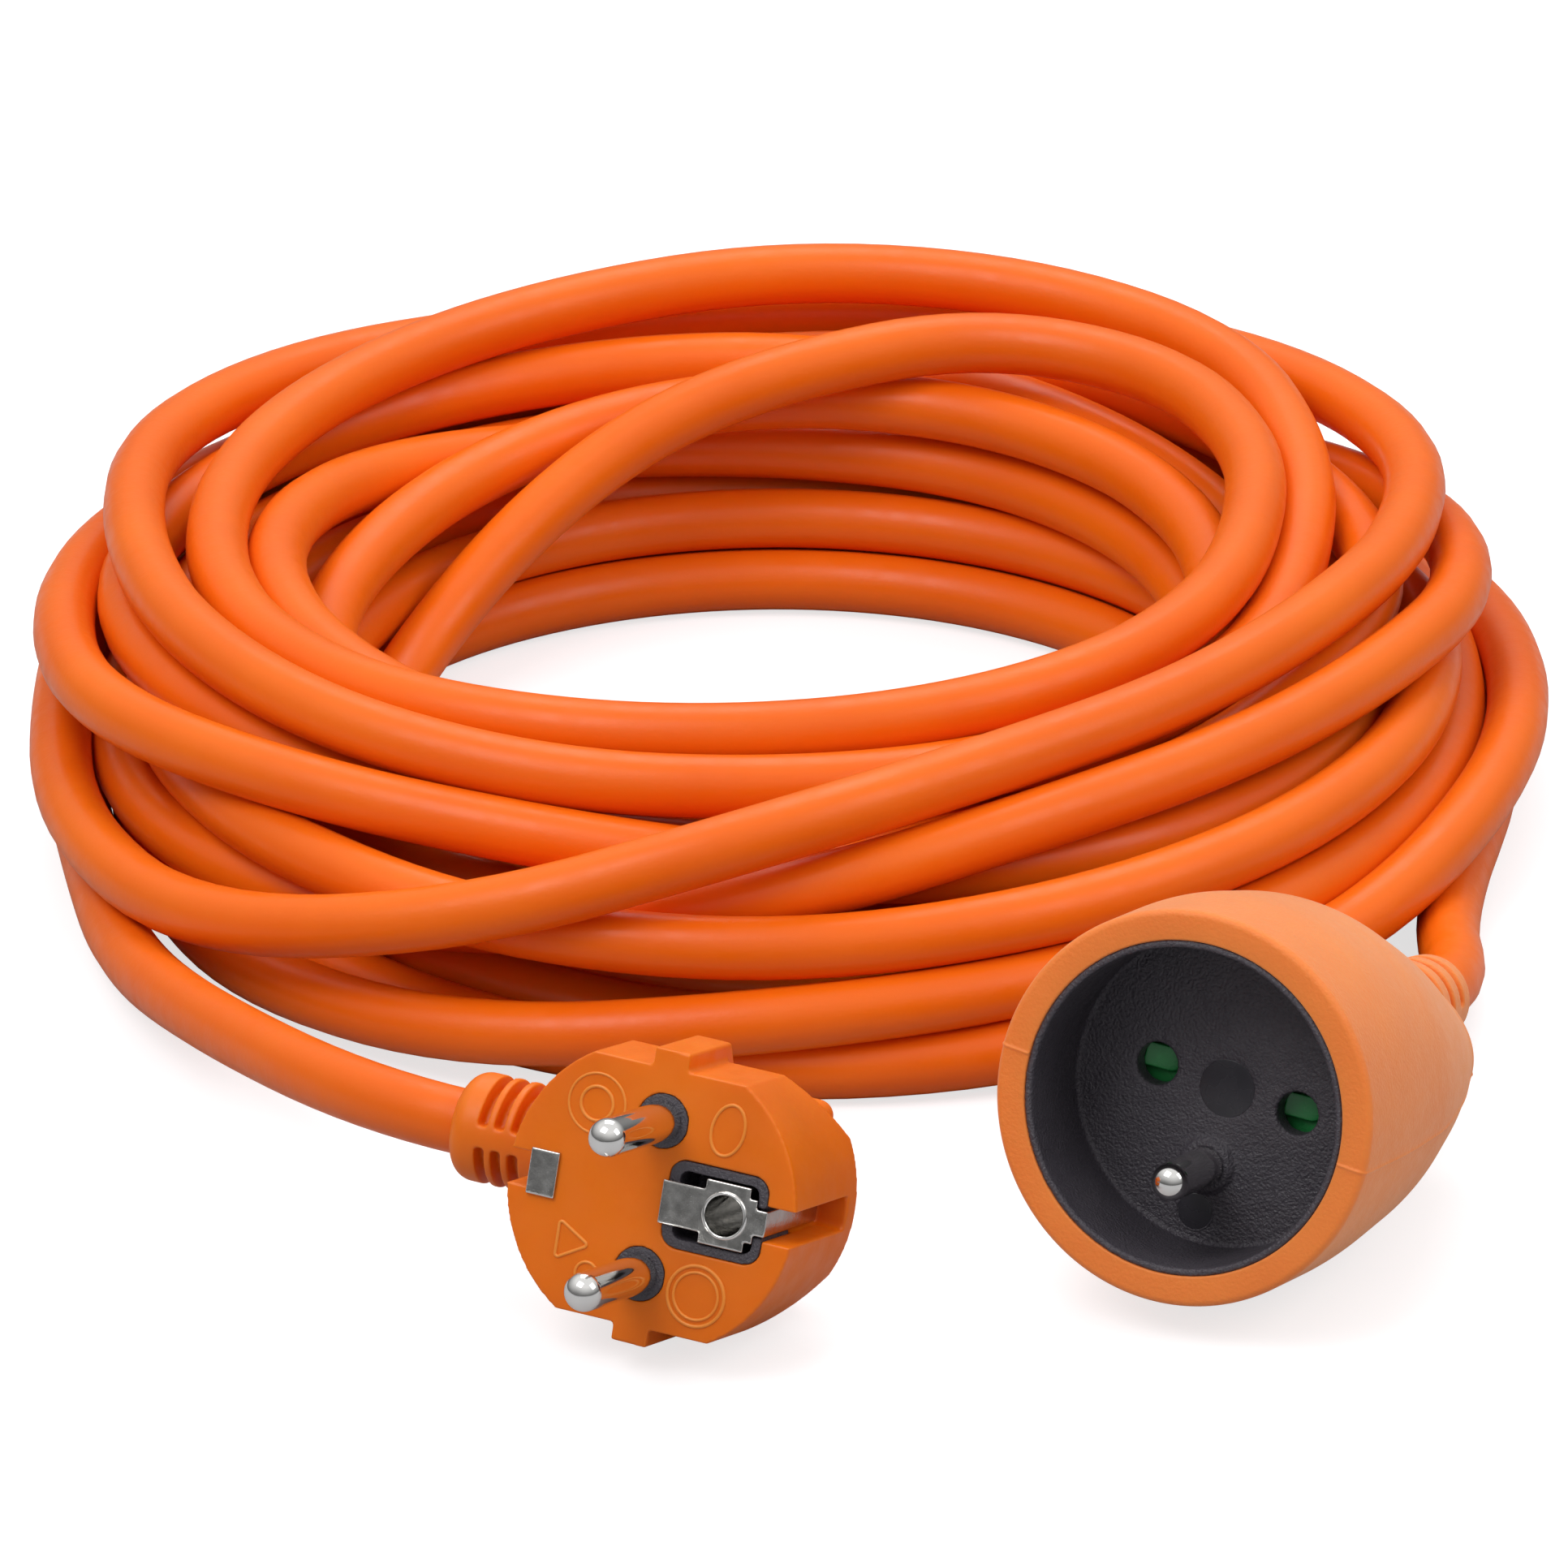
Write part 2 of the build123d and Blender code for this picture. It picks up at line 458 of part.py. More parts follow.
# ---- live contacts: split brass tubes behind the shutter ---------------------
CONTACT_FRONT = FLOOR_BACK + TRACK_DEEP
CONTACT_BORE, CONTACT_SLIT, CONTACT_LEN, CONTACT_FLOOR, BARREL_LEN = 2.45, 0.7, 13.0, 1.5, 5.0
contacts = []
for contact_name, side in (("socket_line_contact", 1), ("socket_neutral_contact", -1)):
    with BuildPart() as contact:
        with BuildSketch(SOCKET.offset(-CONTACT_FRONT)):
            with Locations((side * PIN_PITCH / 2, 0)):
                Circle(CONTACT_R)
                Circle(CONTACT_BORE, mode=Mode.SUBTRACT)
                Rectangle(CONTACT_SLIT, 3 * CONTACT_R, mode=Mode.SUBTRACT)
        extrude(amount=-CONTACT_LEN)
        with BuildSketch(SOCKET.offset(-CONTACT_FRONT - CONTACT_LEN)):
            with Locations((side * PIN_PITCH / 2, 0)):
                Circle(CONTACT_R)
        extrude(amount=-CONTACT_FLOOR)
        with BuildSketch(SOCKET.offset(-CONTACT_FRONT - CONTACT_LEN - CONTACT_FLOOR)):
            with Locations((side * PIN_PITCH / 2, 0)):
                Circle(BARREL_R)
                Circle(CORE_R, mode=Mode.SUBTRACT)
        extrude(amount=-BARREL_LEN)
    contact.part.label = contact_name
    export_step(contact.part, f"parts/{contact_name}.step")
    contacts.append(contact.part)

# ---- socket earth pin: stands up from the floor of the recess ----------------
pin_root = BOSS_H - RECESS_DEPTH + PIN_ROOT
with BuildPart() as socket_earth_pin:
    with BuildSketch(SOCKET.offset(pin_root)):
        with Locations((0, -EARTH_OFFSET)):
            Circle(PIN_R)
    extrude(amount=EARTH_PIN_LEN - RECESS_DEPTH - pin_root)
    pin_top = socket_earth_pin.edges().sort_by(Axis(SOCKET.origin, SOCKET.z_dir))[-1]
    fillet(pin_top, PIN_NOSE)
    with BuildSketch(SOCKET.offset(-CARRIER_BACK)):
        with Locations((0, -EARTH_OFFSET)):
            Circle(PIN_SHANK_R)
    extrude(amount=CARRIER_BACK + pin_root)
    with BuildSketch(SOCKET.offset(-CARRIER_BACK)):
        with Locations((0, -EARTH_OFFSET)):
            Circle(CORE_R)
    extrude(amount=CRIMP_DEEP, mode=Mode.SUBTRACT)
socket_earth_pin.part.label = "socket_earth_pin"
export_step(socket_earth_pin.part, "parts/socket_earth_pin.step")

# ---- socket cores: from the sheath to the three contacts ---------------------
SOCKET_SHEATH_END = 52.0
STRAIGHT_CORE = 3.0          # core that runs on straight out of the sheath
BEND_BACK = 3.5              # corner of the route behind a contact's barrel
contact_end = CONTACT_FRONT + CONTACT_LEN + CONTACT_FLOOR + BARREL_LEN
sheath_face, core_part = -SOCKET_SHEATH_END, STRAIGHT_CORE - SOCKET_SHEATH_END
socket_routes = {
    "socket_core_brown": ((CORE_PITCH, 0, sheath_face), (CORE_PITCH, 0, core_part),
                          (PIN_PITCH / 2, 0, -contact_end - BEND_BACK),
                          (PIN_PITCH / 2, 0, -contact_end + BARREL_LEN)),
    "socket_core_blue": ((-CORE_PITCH, 0, sheath_face), (-CORE_PITCH, 0, core_part),
                         (-PIN_PITCH / 2, 0, -contact_end - BEND_BACK),
                         (-PIN_PITCH / 2, 0, -contact_end + BARREL_LEN)),
    "socket_core_earth": ((0, -EARTH_CORE_DROP, sheath_face), (0, -EARTH_CORE_DROP, core_part),
                          (0, -EARTH_OFFSET, -CARRIER_BACK - BEND_BACK),
                          (0, -EARTH_OFFSET, -CARRIER_BACK + CRIMP_DEEP)),
}
socket_cores = [build_core(name, SOCKET, stops) for name, stops in socket_routes.items()]

with BuildPart() as socket_sheath_end:
    with BuildSketch(SOCKET.offset(-TAIL_LEN)):
        Circle(CORD_R)
    extrude(amount=TAIL_LEN - SOCKET_SHEATH_END)
socket_sheath_end.part.label = "socket_sheath_end"
export_step(socket_sheath_end.part, "parts/socket_sheath_end.step")

# ---- socket boot: ribbed tail around the cable -------------------------------
TAIL_START, TAIL_COLLAR, TAIL_R, TAIL_END_R = 54.0, 63.0, 7.4, 5.6
RIBS, RIB_FIRST, RIB_PITCH, RIB_GAP = 5, 65.0, 4.2, 1.5
RIB_CORE_R, RIB_BAND_HALF = 4.9, 1.3
with BuildPart() as socket_boot:
    with BuildSketch(SOCKET_SIDE):
        with BuildLine():
            Polyline((0, -TAIL_START), (TAIL_R, -TAIL_START), (TAIL_R, -TAIL_COLLAR),
                     (TAIL_END_R, -TAIL_LEN), (0, -TAIL_LEN), close=True)
        make_face()
    revolve(axis=Axis(SOCKET.origin, SOCKET.z_dir))
    for groove in range(RIBS):
        with BuildSketch(SOCKET.offset(-RIB_FIRST - RIB_PITCH * groove)):
            Circle(TAIL_R + 1)
            Circle(RIB_CORE_R, mode=Mode.SUBTRACT)
            Rectangle(4 * TAIL_R, 2 * RIB_BAND_HALF, mode=Mode.SUBTRACT)
        extrude(amount=-RIB_GAP, mode=Mode.SUBTRACT)
    add(socket_sheath_end.part, mode=Mode.SUBTRACT)
socket_boot.part.label = "socket_boot"
export_step(socket_boot.part, "parts/socket_boot.step")

# ---- socket body: orange overmould, round at the mouth and flat at the tail --
MOUTH_LEN, REAR_FILLET = 18.0, 2.0
# depth behind the face, half width and half height of each section
SECTIONS = ((MOUTH_LEN, SOCKET_R, SOCKET_R), (31.0, 23.4, 21.9), (46.0, 20.2, 16.4),
            (SOCKET_LEN, 15.8, 9.6))
with BuildPart() as socket_body:
    with BuildSketch(SOCKET):
        Circle(SOCKET_R)
    extrude(amount=-MOUTH_LEN)
    for pair in zip(SECTIONS, SECTIONS[1:]):
        for depth, half_wide, half_tall in pair:
            with BuildSketch(SOCKET.offset(-depth)):
                Ellipse(half_wide, half_tall)
        loft(ruled=True)
    rear_face = socket_body.faces().sort_by(Axis(SOCKET.origin, SOCKET.z_dir))[0]
    fillet(rear_face.edges(), REAR_FILLET)
    for inner in (socket_insert.part, socket_carrier.part, socket_boot.part, socket_sheath_end.part,
                  *contacts, socket_earth_pin.part, *socket_cores):
        add(inner, mode=Mode.SUBTRACT)
    with BuildSketch(SOCKET):
        Circle(INSERT_R)
    extrude(amount=-FLOOR_BACK, mode=Mode.SUBTRACT)
    with BuildSketch(SOCKET.offset(-FLOOR_BACK)):
        RectangleRounded(2 * CARRIER_HALF, CARRIER_TALL, CARRIER_CORNER)
    extrude(amount=-(contact_end - BARREL_LEN - FLOOR_BACK), mode=Mode.SUBTRACT)
    with BuildSketch(SOCKET.offset(-FLOOR_BACK)):
        RectangleRounded(2 * TRACK_FRONT_HALF, CARRIER_TALL, CARRIER_CORNER)
    extrude(amount=-(TRACK_STEP - FLOOR_BACK), mode=Mode.SUBTRACT)
socket_body.part.label = "socket_body"
export_step(socket_body.part, "parts/socket_body.step")
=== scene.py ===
"""Extension cord: a loose hank of round orange flex lying on a pale floor, with a
moulded angled plug on one end and a moulded trailing socket on the other."""
import json

import bmesh
import bpy
import numpy as np
from mathutils import Euler, Matrix


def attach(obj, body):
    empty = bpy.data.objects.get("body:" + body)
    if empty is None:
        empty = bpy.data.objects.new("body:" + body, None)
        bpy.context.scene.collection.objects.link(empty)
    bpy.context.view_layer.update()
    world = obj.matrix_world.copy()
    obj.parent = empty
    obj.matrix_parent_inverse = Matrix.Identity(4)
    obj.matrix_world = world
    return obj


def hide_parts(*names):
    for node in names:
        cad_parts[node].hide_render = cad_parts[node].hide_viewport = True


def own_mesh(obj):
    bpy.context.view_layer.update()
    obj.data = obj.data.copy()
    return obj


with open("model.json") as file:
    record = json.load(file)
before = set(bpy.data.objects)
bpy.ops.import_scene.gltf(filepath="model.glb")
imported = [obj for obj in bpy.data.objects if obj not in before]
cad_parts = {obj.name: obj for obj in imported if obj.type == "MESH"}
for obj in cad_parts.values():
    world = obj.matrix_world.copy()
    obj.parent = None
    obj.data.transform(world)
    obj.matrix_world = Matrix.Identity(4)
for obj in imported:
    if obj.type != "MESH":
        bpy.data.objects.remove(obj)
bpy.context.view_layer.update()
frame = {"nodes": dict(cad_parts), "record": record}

# ---- cord -------------------------------------------------------------------
# Round three-core flex with an extruded soft PVC sheath, 8.2 mm thick and about
# 8.7 m long, wound by hand into a flat hank; the turns lie on and across each other.
CORD_THICK = 0.0082
HANK_MIDDLE = (0.0, 0.0443)
POINTS_PER_TURN = 16

# where the cord goes as it was wound: degrees round the hank from its +X side, distance
# from the middle and height, in millimetres
WOUND = np.array([
    (-14, 96, 4.3), (0, 93.5, 4.1), (90, 94.5, 4.1), (180, 82, 4.1), (205, 86, 4.1),
    (225, 93.5, 4.2), (248, 98.5, 6), (270, 97, 11), (310, 92, 12.5),
    (360, 87, 12.5), (450, 93.5, 19.5), (520, 92.5, 14), (540, 88.5, 12.5), (554, 91, 11),
    (568, 96, 7.5), (588, 99, 7.8), (602, 96, 12.5), (612, 93, 19), (622, 89.5, 25),
    (632, 85, 28), (645, 77.5, 30), (659, 72, 32), (682, 72.3, 34.5), (697, 74, 35.5),
    (711, 78, 35.5), (725, 83.5, 35), (737, 88.5, 34), (750, 93.5, 33),
    (761, 95.5, 31.5), (780, 95, 30), (810, 92.5, 27.5), (835, 90.5, 27.5), (852, 92, 29),
    (865, 92, 30.5), (882, 89.3, 32), (894, 85.8, 33), (909, 83.3, 33), (923, 82.9, 33),
    (944, 81.3, 32.5), (969, 76.2, 31), (985, 73, 31), (1002, 69, 30), (1020, 67, 29),
    (1050, 66, 28), (1074, 66, 28), (1093, 69, 28),
    (1108, 78, 28.5), (1121, 85, 29), (1142, 88.3, 32), (1161, 87.5, 34.3), (1171, 86.5, 35),
    (1190, 83.5, 34.5), (1210, 80, 34.5), (1228, 78.5, 34.2), (1255, 74.7, 34),
    (1277, 73.4, 34.3), (1308, 70.5, 35.5), (1326, 67, 36), (1348, 63.4, 36),
    (1363, 61.8, 36), (1391, 61.3, 36.5), (1425, 61, 36.5), (1443, 63.6, 36.5),
    (1450, 65.3, 36.5), (1468, 70.8, 37), (1482, 74, 37.5), (1493, 74.5, 38), (1504, 71, 38.5),
    (1516, 63, 39), (1530, 55.5, 37), (1540, 54, 34.7), (1553, 53, 30.6), (1566, 53, 24.7),
    (1578, 53.5, 18.8), (1588, 55, 12.4), (1596, 56.5, 8.2), (1620, 58, 4.6), (1710, 61, 4.1),
    (1800, 60, 4.1), (1890, 60.5, 4.1), (1980, 66.2, 4.1), (2070, 69.5, 4.1),
    (2160, 69, 4.1), (2250, 69.5, 4.1), (2340, 70.5, 11.5), (2430, 78, 4.1),
    (2520, 78, 4.1), (2610, 78.5, 4.1), (2700, 79, 11.5), (2790, 87, 4.1),
    (2880, 73, 11.5), (2970, 74, 11.5), (3060, 72, 19.5), (3150, 74, 11.3),
    (3240, 64.5, 11.5), (3330, 65.5, 11.6), (3420, 62, 11.8), (3510, 65, 11.3),
    (3600, 56, 20), (3690, 68, 21), (3780, 66, 33), (3870, 58, 28.5),
    (3960, 56.5, 29.5), (4050, 66.5, 30), (4140, 62, 21), (4230, 61.5, 19.5),
    (4320, 68.5, 19.5), (4410, 77, 31), (4500, 87, 25), (4590, 70, 19.5),
    (4680, 79, 27), (4770, 86, 20), (4838, 96.5, 17), (4850, 95.7, 19), (4864, 95.5, 20),
    (4884, 96.2, 21.5), (4899, 90, 22.5), (4915, 84.5, 23.5), (4930, 80, 24), (4950, 77, 23),
    (5040, 77.5, 19.5), (5130, 82.5, 11.5), (5220, 88, 16), (5250, 92.5, 15), (5270, 90, 15.5),
    (5293, 89, 18), (5303, 91, 22), (5312, 91, 24.5), (5323, 84.5, 25.5), (5336, 78, 26.5),
    (5352, 76, 27), (5371, 77, 27.5), (5387, 81.5, 27.5), (5399, 87.2, 27), (5409, 91.5, 26),
    (5430, 92, 23), (5490, 77, 20), (5580, 80, 19.5), (5670, 93, 17.5),
    (5760, 86, 20.5), (5850, 87, 4.1), (5940, 74.5, 4.1), (6030, 98, 4.1),
    (6072, 97, 9), (6092, 94.5, 12.5), (6110, 91.5, 14), (6120, 90, 14), (6140, 89, 14),
    (6210, 89, 12), (6270, 91, 5), (6300, 92, 4.1), (6312, 94.5, 4.1),
])
# the free end that leaves the socket's tail, and the one that runs to the plug's boot
SOCKET_RUN = np.array([(81.66, -40.56, 8.14), (86.34, -29.89, 5.26), (84.3, -7.7, 4.6)]) / 1000
PLUG_RUN = np.array([(-88.5, 4.5, 5.0), (-84.0, -21.5, 5.4), (-74.0, -50.0, 10.0),
                     (-51.7, -91.3, 18.0), (-38.94, -96.95, 17.44)]) / 1000
HIDDEN_TURNS = (4.6, 9.3)  # the turns buried in the hank, which give way to the others


def wound_points(wound, per_turn):
    """Points round the hank. Between two rows of the table, distance and height follow
    the cubic whose slope at a row is the harmonic mean of its neighbours' slopes, and 0
    where they differ in sign. The points stand a little outside that line, by one over
    3/4 + 1/4 cosine of the angle between points, because the spline cuts inside them."""
    angle, value = wound[:, 0], wound[:, 1:] / 1000
    step = np.diff(angle)
    rise = np.diff(value, axis=0) / step[:, None]
    slope = np.zeros_like(value)
    slope[0], slope[-1] = rise[0], rise[-1]
    near, far = (2 * step[1:] + step[:-1])[:, None], (step[1:] + 2 * step[:-1])[:, None]
    with np.errstate(divide="ignore", invalid="ignore"):
        mean = (near + far) / (near / rise[:-1] + far / rise[1:])
    slope[1:-1] = np.where(rise[:-1] * rise[1:] > 0, mean, 0)
    each = 360 / per_turn
    at = np.arange(0, angle[-1] + 1, each)
    i = np.clip(np.searchsorted(angle, at, "right") - 1, 0, len(step) - 1)
    h = step[i][:, None]
    u = (at - angle[i])[:, None] / h
    line = ((2 * u**3 - 3 * u**2 + 1) * value[i] + (u**3 - 2 * u**2 + u) * h * slope[i]
            + (3 * u**2 - 2 * u**3) * value[i + 1] + (u**3 - u**2) * h * slope[i + 1])
    reach = line[:, 0] / (0.75 + 0.25 * np.cos(np.radians(each)))
    turn = np.radians(at)
    return np.column_stack([HANK_MIDDLE[0] + reach * np.cos(turn),
                            HANK_MIDDLE[1] + reach * np.sin(turn), line[:, 1]])


def spline_weights(count, samples):
    """How much each of count points weighs at evenly spaced places of the order 3 spline
    that starts and ends at its end points: one row of weights for each sample."""
    spans = count - 2
    t = np.linspace(0, spans, samples)
    first = np.minimum(t.astype(int), spans - 1)
    knots = np.concatenate([[0, 0], np.arange(spans + 1), [spans, spans]]).astype(float)
    weight = np.zeros((samples, 3))
    weight[:, 0] = 1
    for degree in (1, 2):
        carried = np.zeros(samples)
        for k in range(degree):
            right = knots[first + 2 + k + 1] - t
            left = t - knots[first + 2 + 1 - degree + k]
            share = weight[:, k] / (right + left)
            weight[:, k] = carried + right * share
            carried = left * share
        weight[:, degree] = carried
    rows = np.zeros((samples, count))
    for k in range(3):
        rows[np.arange(samples), first + k] = weight[:, k]
    return rows


def settle(start, held, stiff, thick, rounds=320, last=60):
    """Lets the cord lie on itself. Each round finds the places where two stretches of it
    are nearer than its thickness, pushes both apart by half the gap, lifts what is below
    the floor, and moves the control points by the weighted mean of those pushes. Until
    the last rounds the points also sink a little and are drawn back to where they were
    wound, and each one's shift is evened out with its neighbours', as a stiff cord does."""
    room, search, spacing = thick * 1.008, thick + 0.006, 3 * thick
    push_gain, pull_back, sink = 1.4, 0.03, (0, 0, 0.00006)
    evened_while_loose, evened_at_last = 0.25, 0.06
    weights = spline_weights(len(start), (len(start) - 2) * 8 + 1)
    line = weights @ start
    along = np.concatenate([[0], np.cumsum(np.linalg.norm(np.diff(line, axis=0), axis=1))])
    free = (~held)[:, None].astype(float)
    points = start.copy()
    for done in range(rounds):
        line = weights @ points
        if done % 8 == 0:
            pairs = [np.argwhere(((line[a:a + 256, None] - line[None]) ** 2).sum(-1)
                                 < search ** 2) + (a, 0)
                     for a in range(0, len(line), 256)]
            one, two = np.concatenate(pairs).T
            apart = (two > one) & (along[two] - along[one] > spacing)
            one, two = one[apart], two[apart]
        between = line[one] - line[two]
        gap = np.linalg.norm(between, axis=1)
        near = gap < room
        push = (between[near] / np.maximum(gap[near], 1e-9)[:, None]
                * (room - gap[near])[:, None] / 2)
        moved, met = np.zeros_like(line), np.zeros(len(line))
        np.add.at(moved, one[near], push)
        np.add.at(moved, two[near], -push)
        np.add.at(met, one[near], 1)
        np.add.at(met, two[near], 1)
        moved /= np.sqrt(np.maximum(met, 1))[:, None]
        under = thick / 2 - line[:, 2] - moved[:, 2]
        low = under > 0
        moved[low, 2] += under[low]
        touched = (met > 0) | low
        share = weights[touched].sum(0) + 0.1
        points += push_gain * free * (weights[touched].T @ moved[touched]) / share[:, None]
        loose = done < rounds - last
        if loose:
            points += free * (pull_back * stiff * (start - points) - sink)
        shift = points - start
        points[1:-1] += ((evened_while_loose if loose else evened_at_last) * free[1:-1]
                         * ((shift[:-2] + shift[2:]) / 2 - shift[1:-1]))
    return points


route = np.vstack([SOCKET_RUN, wound_points(WOUND, POINTS_PER_TURN), PLUG_RUN])
held = np.zeros(len(route), bool)
held[:2] = held[-3:] = True
turn_of = (np.arange(len(route)) - len(SOCKET_RUN)) / POINTS_PER_TURN
buried = (turn_of > HIDDEN_TURNS[0]) & (turn_of < HIDDEN_TURNS[1])
stiff = np.where(buried, 0.08, 1.0)[:, None]
route = settle(route, held, stiff, CORD_THICK)

cord_line = bpy.data.curves.new("cord", "CURVE")
cord_line.dimensions = "3D"
cord_spline = cord_line.splines.new("NURBS")
cord_spline.points.add(len(route) - 1)
cord_spline.points.foreach_set("co", np.column_stack([route, np.ones(len(route))]).ravel())
cord_spline.order_u = 3
cord_spline.use_endpoint_u = True
cord_spline.resolution_u = 8
cord_line.bevel_depth = CORD_THICK / 2
cord_line.bevel_resolution = 6
cord_line.use_fill_caps = True
cord = bpy.data.objects.new("cord", cord_line)
bpy.context.scene.collection.objects.link(cord)


# Satin PVC as it leaves the extruder: very fine grain, faint patches and a soft gloss.
def surface_grain():
    """Shader group: a broad noise mixes two shades, a middle noise two roughnesses, and the sum
    of a fine noise and the fainter middle one is the height of the grain."""
    group = bpy.data.node_groups.new("surface_grain", "ShaderNodeTree")
    color, value = "NodeSocketColor", "NodeSocketFloat"
    for label, side, kind in (("Light", "INPUT", color), ("Dark", "INPUT", color),
                              ("Patches", "INPUT", value), ("Grain", "INPUT", value),
                              ("Smooth", "INPUT", value), ("Rough", "INPUT", value),
                              ("Color", "OUTPUT", color), ("Roughness", "OUTPUT", value),
                              ("Height", "OUTPUT", value)):
        group.interface.new_socket(label, in_out=side, socket_type=kind)
    nodes, join = group.nodes, group.links.new
    asked, given = nodes.new("NodeGroupInput"), nodes.new("NodeGroupOutput")
    place = nodes.new("ShaderNodeTexCoord")
    patches, fine, middle = (nodes.new("ShaderNodeTexNoise") for _ in range(3))
    patches.inputs["Detail"].default_value = 4
    fine.inputs["Detail"].default_value = 3
    middle.inputs["Detail"].default_value = 2
    coarser = nodes.new("ShaderNodeMath")
    coarser.operation, coarser.inputs[1].default_value = "MULTIPLY", 0.22
    for noise, scale in ((patches, asked.outputs["Patches"]), (fine, asked.outputs["Grain"]),
                         (middle, coarser.outputs[0])):
        join(place.outputs["Object"], noise.inputs["Vector"])
        join(scale, noise.inputs["Scale"])
    join(asked.outputs["Grain"], coarser.inputs[0])
    spread = nodes.new("ShaderNodeMapRange")
    spread.inputs["From Min"].default_value, spread.inputs["From Max"].default_value = 0.32, 0.68
    join(patches.outputs["Fac"], spread.inputs["Value"])
    shade = nodes.new("ShaderNodeMix")
    shade.data_type = "RGBA"
    join(spread.outputs["Result"], shade.inputs["Factor"])
    join(asked.outputs["Dark"], shade.inputs["A"])
    join(asked.outputs["Light"], shade.inputs["B"])
    gloss = nodes.new("ShaderNodeMapRange")
    gloss.inputs["From Min"].default_value, gloss.inputs["From Max"].default_value = 0.35, 0.65
    join(middle.outputs["Fac"], gloss.inputs["Value"])
    join(asked.outputs["Smooth"], gloss.inputs["To Min"])
    join(asked.outputs["Rough"], gloss.inputs["To Max"])
    high = nodes.new("ShaderNodeMath")
    high.operation, high.inputs[1].default_value = "MULTIPLY_ADD", 0.5
    join(middle.outputs["Fac"], high.inputs[0])
    join(fine.outputs["Fac"], high.inputs[2])
    join(shade.outputs["Result"], given.inputs["Color"])
    join(gloss.outputs["Result"], given.inputs["Roughness"])
    join(high.outputs[0], given.inputs["Height"])
    return group


GRAIN = surface_grain()


def finish(name, light, dark, patches, grain, smooth, rough, bump, depth, **sockets):
    """Principled material: shade, gloss and grain height come from the surface_grain group,
    and everything that is the same all over is set on the shader itself. Patches and grain
    are how many of each go to a metre, and depth is the height of the grain in metres."""
    material = bpy.data.materials.new(name)
    material.use_nodes = True
    tree = material.node_tree
    shader = tree.nodes["Principled BSDF"]
    group = tree.nodes.new("ShaderNodeGroup")
    group.node_tree = GRAIN
    for label, value in (("Light", (*light, 1)), ("Dark", (*dark, 1)), ("Patches", patches),
                         ("Grain", grain), ("Smooth", smooth), ("Rough", rough)):
        group.inputs[label].default_value = value
    relief = tree.nodes.new("ShaderNodeBump")
    relief.inputs["Strength"].default_value = bump
    relief.inputs["Distance"].default_value = depth
    tree.links.new(group.outputs["Color"], shader.inputs["Base Color"])
    tree.links.new(group.outputs["Roughness"], shader.inputs["Roughness"])
    tree.links.new(group.outputs["Height"], relief.inputs["Height"])
    tree.links.new(relief.outputs["Normal"], shader.inputs["Normal"])
    for label, value in sockets.items():
        shader.inputs[label.replace("_", " ")].default_value = value
    return material


sheath_orange = finish("sheath_orange", (0.88, 0.155, 0.004), (0.82, 0.128, 0.003),
                       patches=30, grain=1500, smooth=0.30, rough=0.42, bump=0.14, depth=0.0002,
                       Subsurface_Weight=0.08, Specular_IOR_Level=0.28,
                       Subsurface_Radius=(0.003, 0.001, 0.0003), Subsurface_Scale=1.0)
cord_line.materials.append(sheath_orange)

# ---- sheath ends and cores --------------------------------------------------
# Inside the mouldings the sheath is cut back and the three insulated cores fan out to
# the contacts. Nothing of them shows, so the CAD parts stay and only get their colours.
def core(name, light, dark, patches):
    """Insulation of one core: thin satin PVC in its own colour."""
    return finish(name, light, dark, patches=patches, grain=2500, smooth=0.35, rough=0.5,
                  bump=0.1, depth=0.0001)


core_brown = core("core_brown", (0.14, 0.05, 0.022), (0.10, 0.035, 0.016), 120)
core_blue = core("core_blue", (0.035, 0.14, 0.5), (0.025, 0.10, 0.38), 120)
core_striped = core("core_green_yellow", (0.62, 0.60, 0.03), (0.04, 0.26, 0.05), 260)


def paint(node, material):
    """Gives a CAD node its material."""
    mesh = frame["nodes"][node].data
    mesh.materials.clear()
    mesh.materials.append(material)


for end in ("plug", "socket"):
    paint(f"{end}_sheath_end", sheath_orange)
    paint(f"{end}_core_brown", core_brown)
    paint(f"{end}_core_blue", core_blue)
    paint(f"{end}_core_earth", core_striped)

# ---- plug pins --------------------------------------------------------------
# Two brass pins, turned with a domed end, a thin shank, a collar and a crimp barrel,
# then nickel plated. They are set in the carrier before the plug is moulded round them.
mounts = {mount["name"]: mount for mount in frame["record"]["mounts"]}


def face_frame(first, second, along, depth):
    """Matrix from a face's own millimetres to the row frame. The z axis is that of the two
    mounts, the line from the second to the first is the along axis, and the face lies depth
    in front of the point midway between them."""
    one, two = (np.array(mounts[name]["pos_m"]) for name in (first, second))
    out = np.array(mounts[first]["axis"])
    out = out / np.linalg.norm(out)
    line = (one - two) - out * ((one - two) @ out)
    line = line / np.linalg.norm(line)
    x, y = (line, np.cross(out, line)) if along == "x" else (np.cross(line, out), line)
    turn = np.eye(4)
    turn[:3, :3] = np.column_stack([x, y, out]) / 1000
    turn[:3, 3] = (one + two) / 2 + out * depth / 1000
    return turn


PIN_R, PIN_LONG, PIN_PITCH, PIN_NOSE = 2.4, 19.0, 19.0, 2.25
PIN_EDGE, COLLAR_R, COLLAR_FRONT, COLLAR_BACK = 0.1, 3.0, -6.8, -8.0
BARREL_R, BARREL_HOLE_R, BARREL_HOLE_DEEP, PIN_BACK = 2.0, 1.45, 4.0, -11.0
# the plug's y and the socket's x run from the neutral pin or hole to that of the line
PLUG = face_frame("plug_line_pin", "plug_neutral_pin", "y", -8.42)
SOCKET = face_frame("socket_line_hole", "socket_neutral_hole", "x", 16.5)


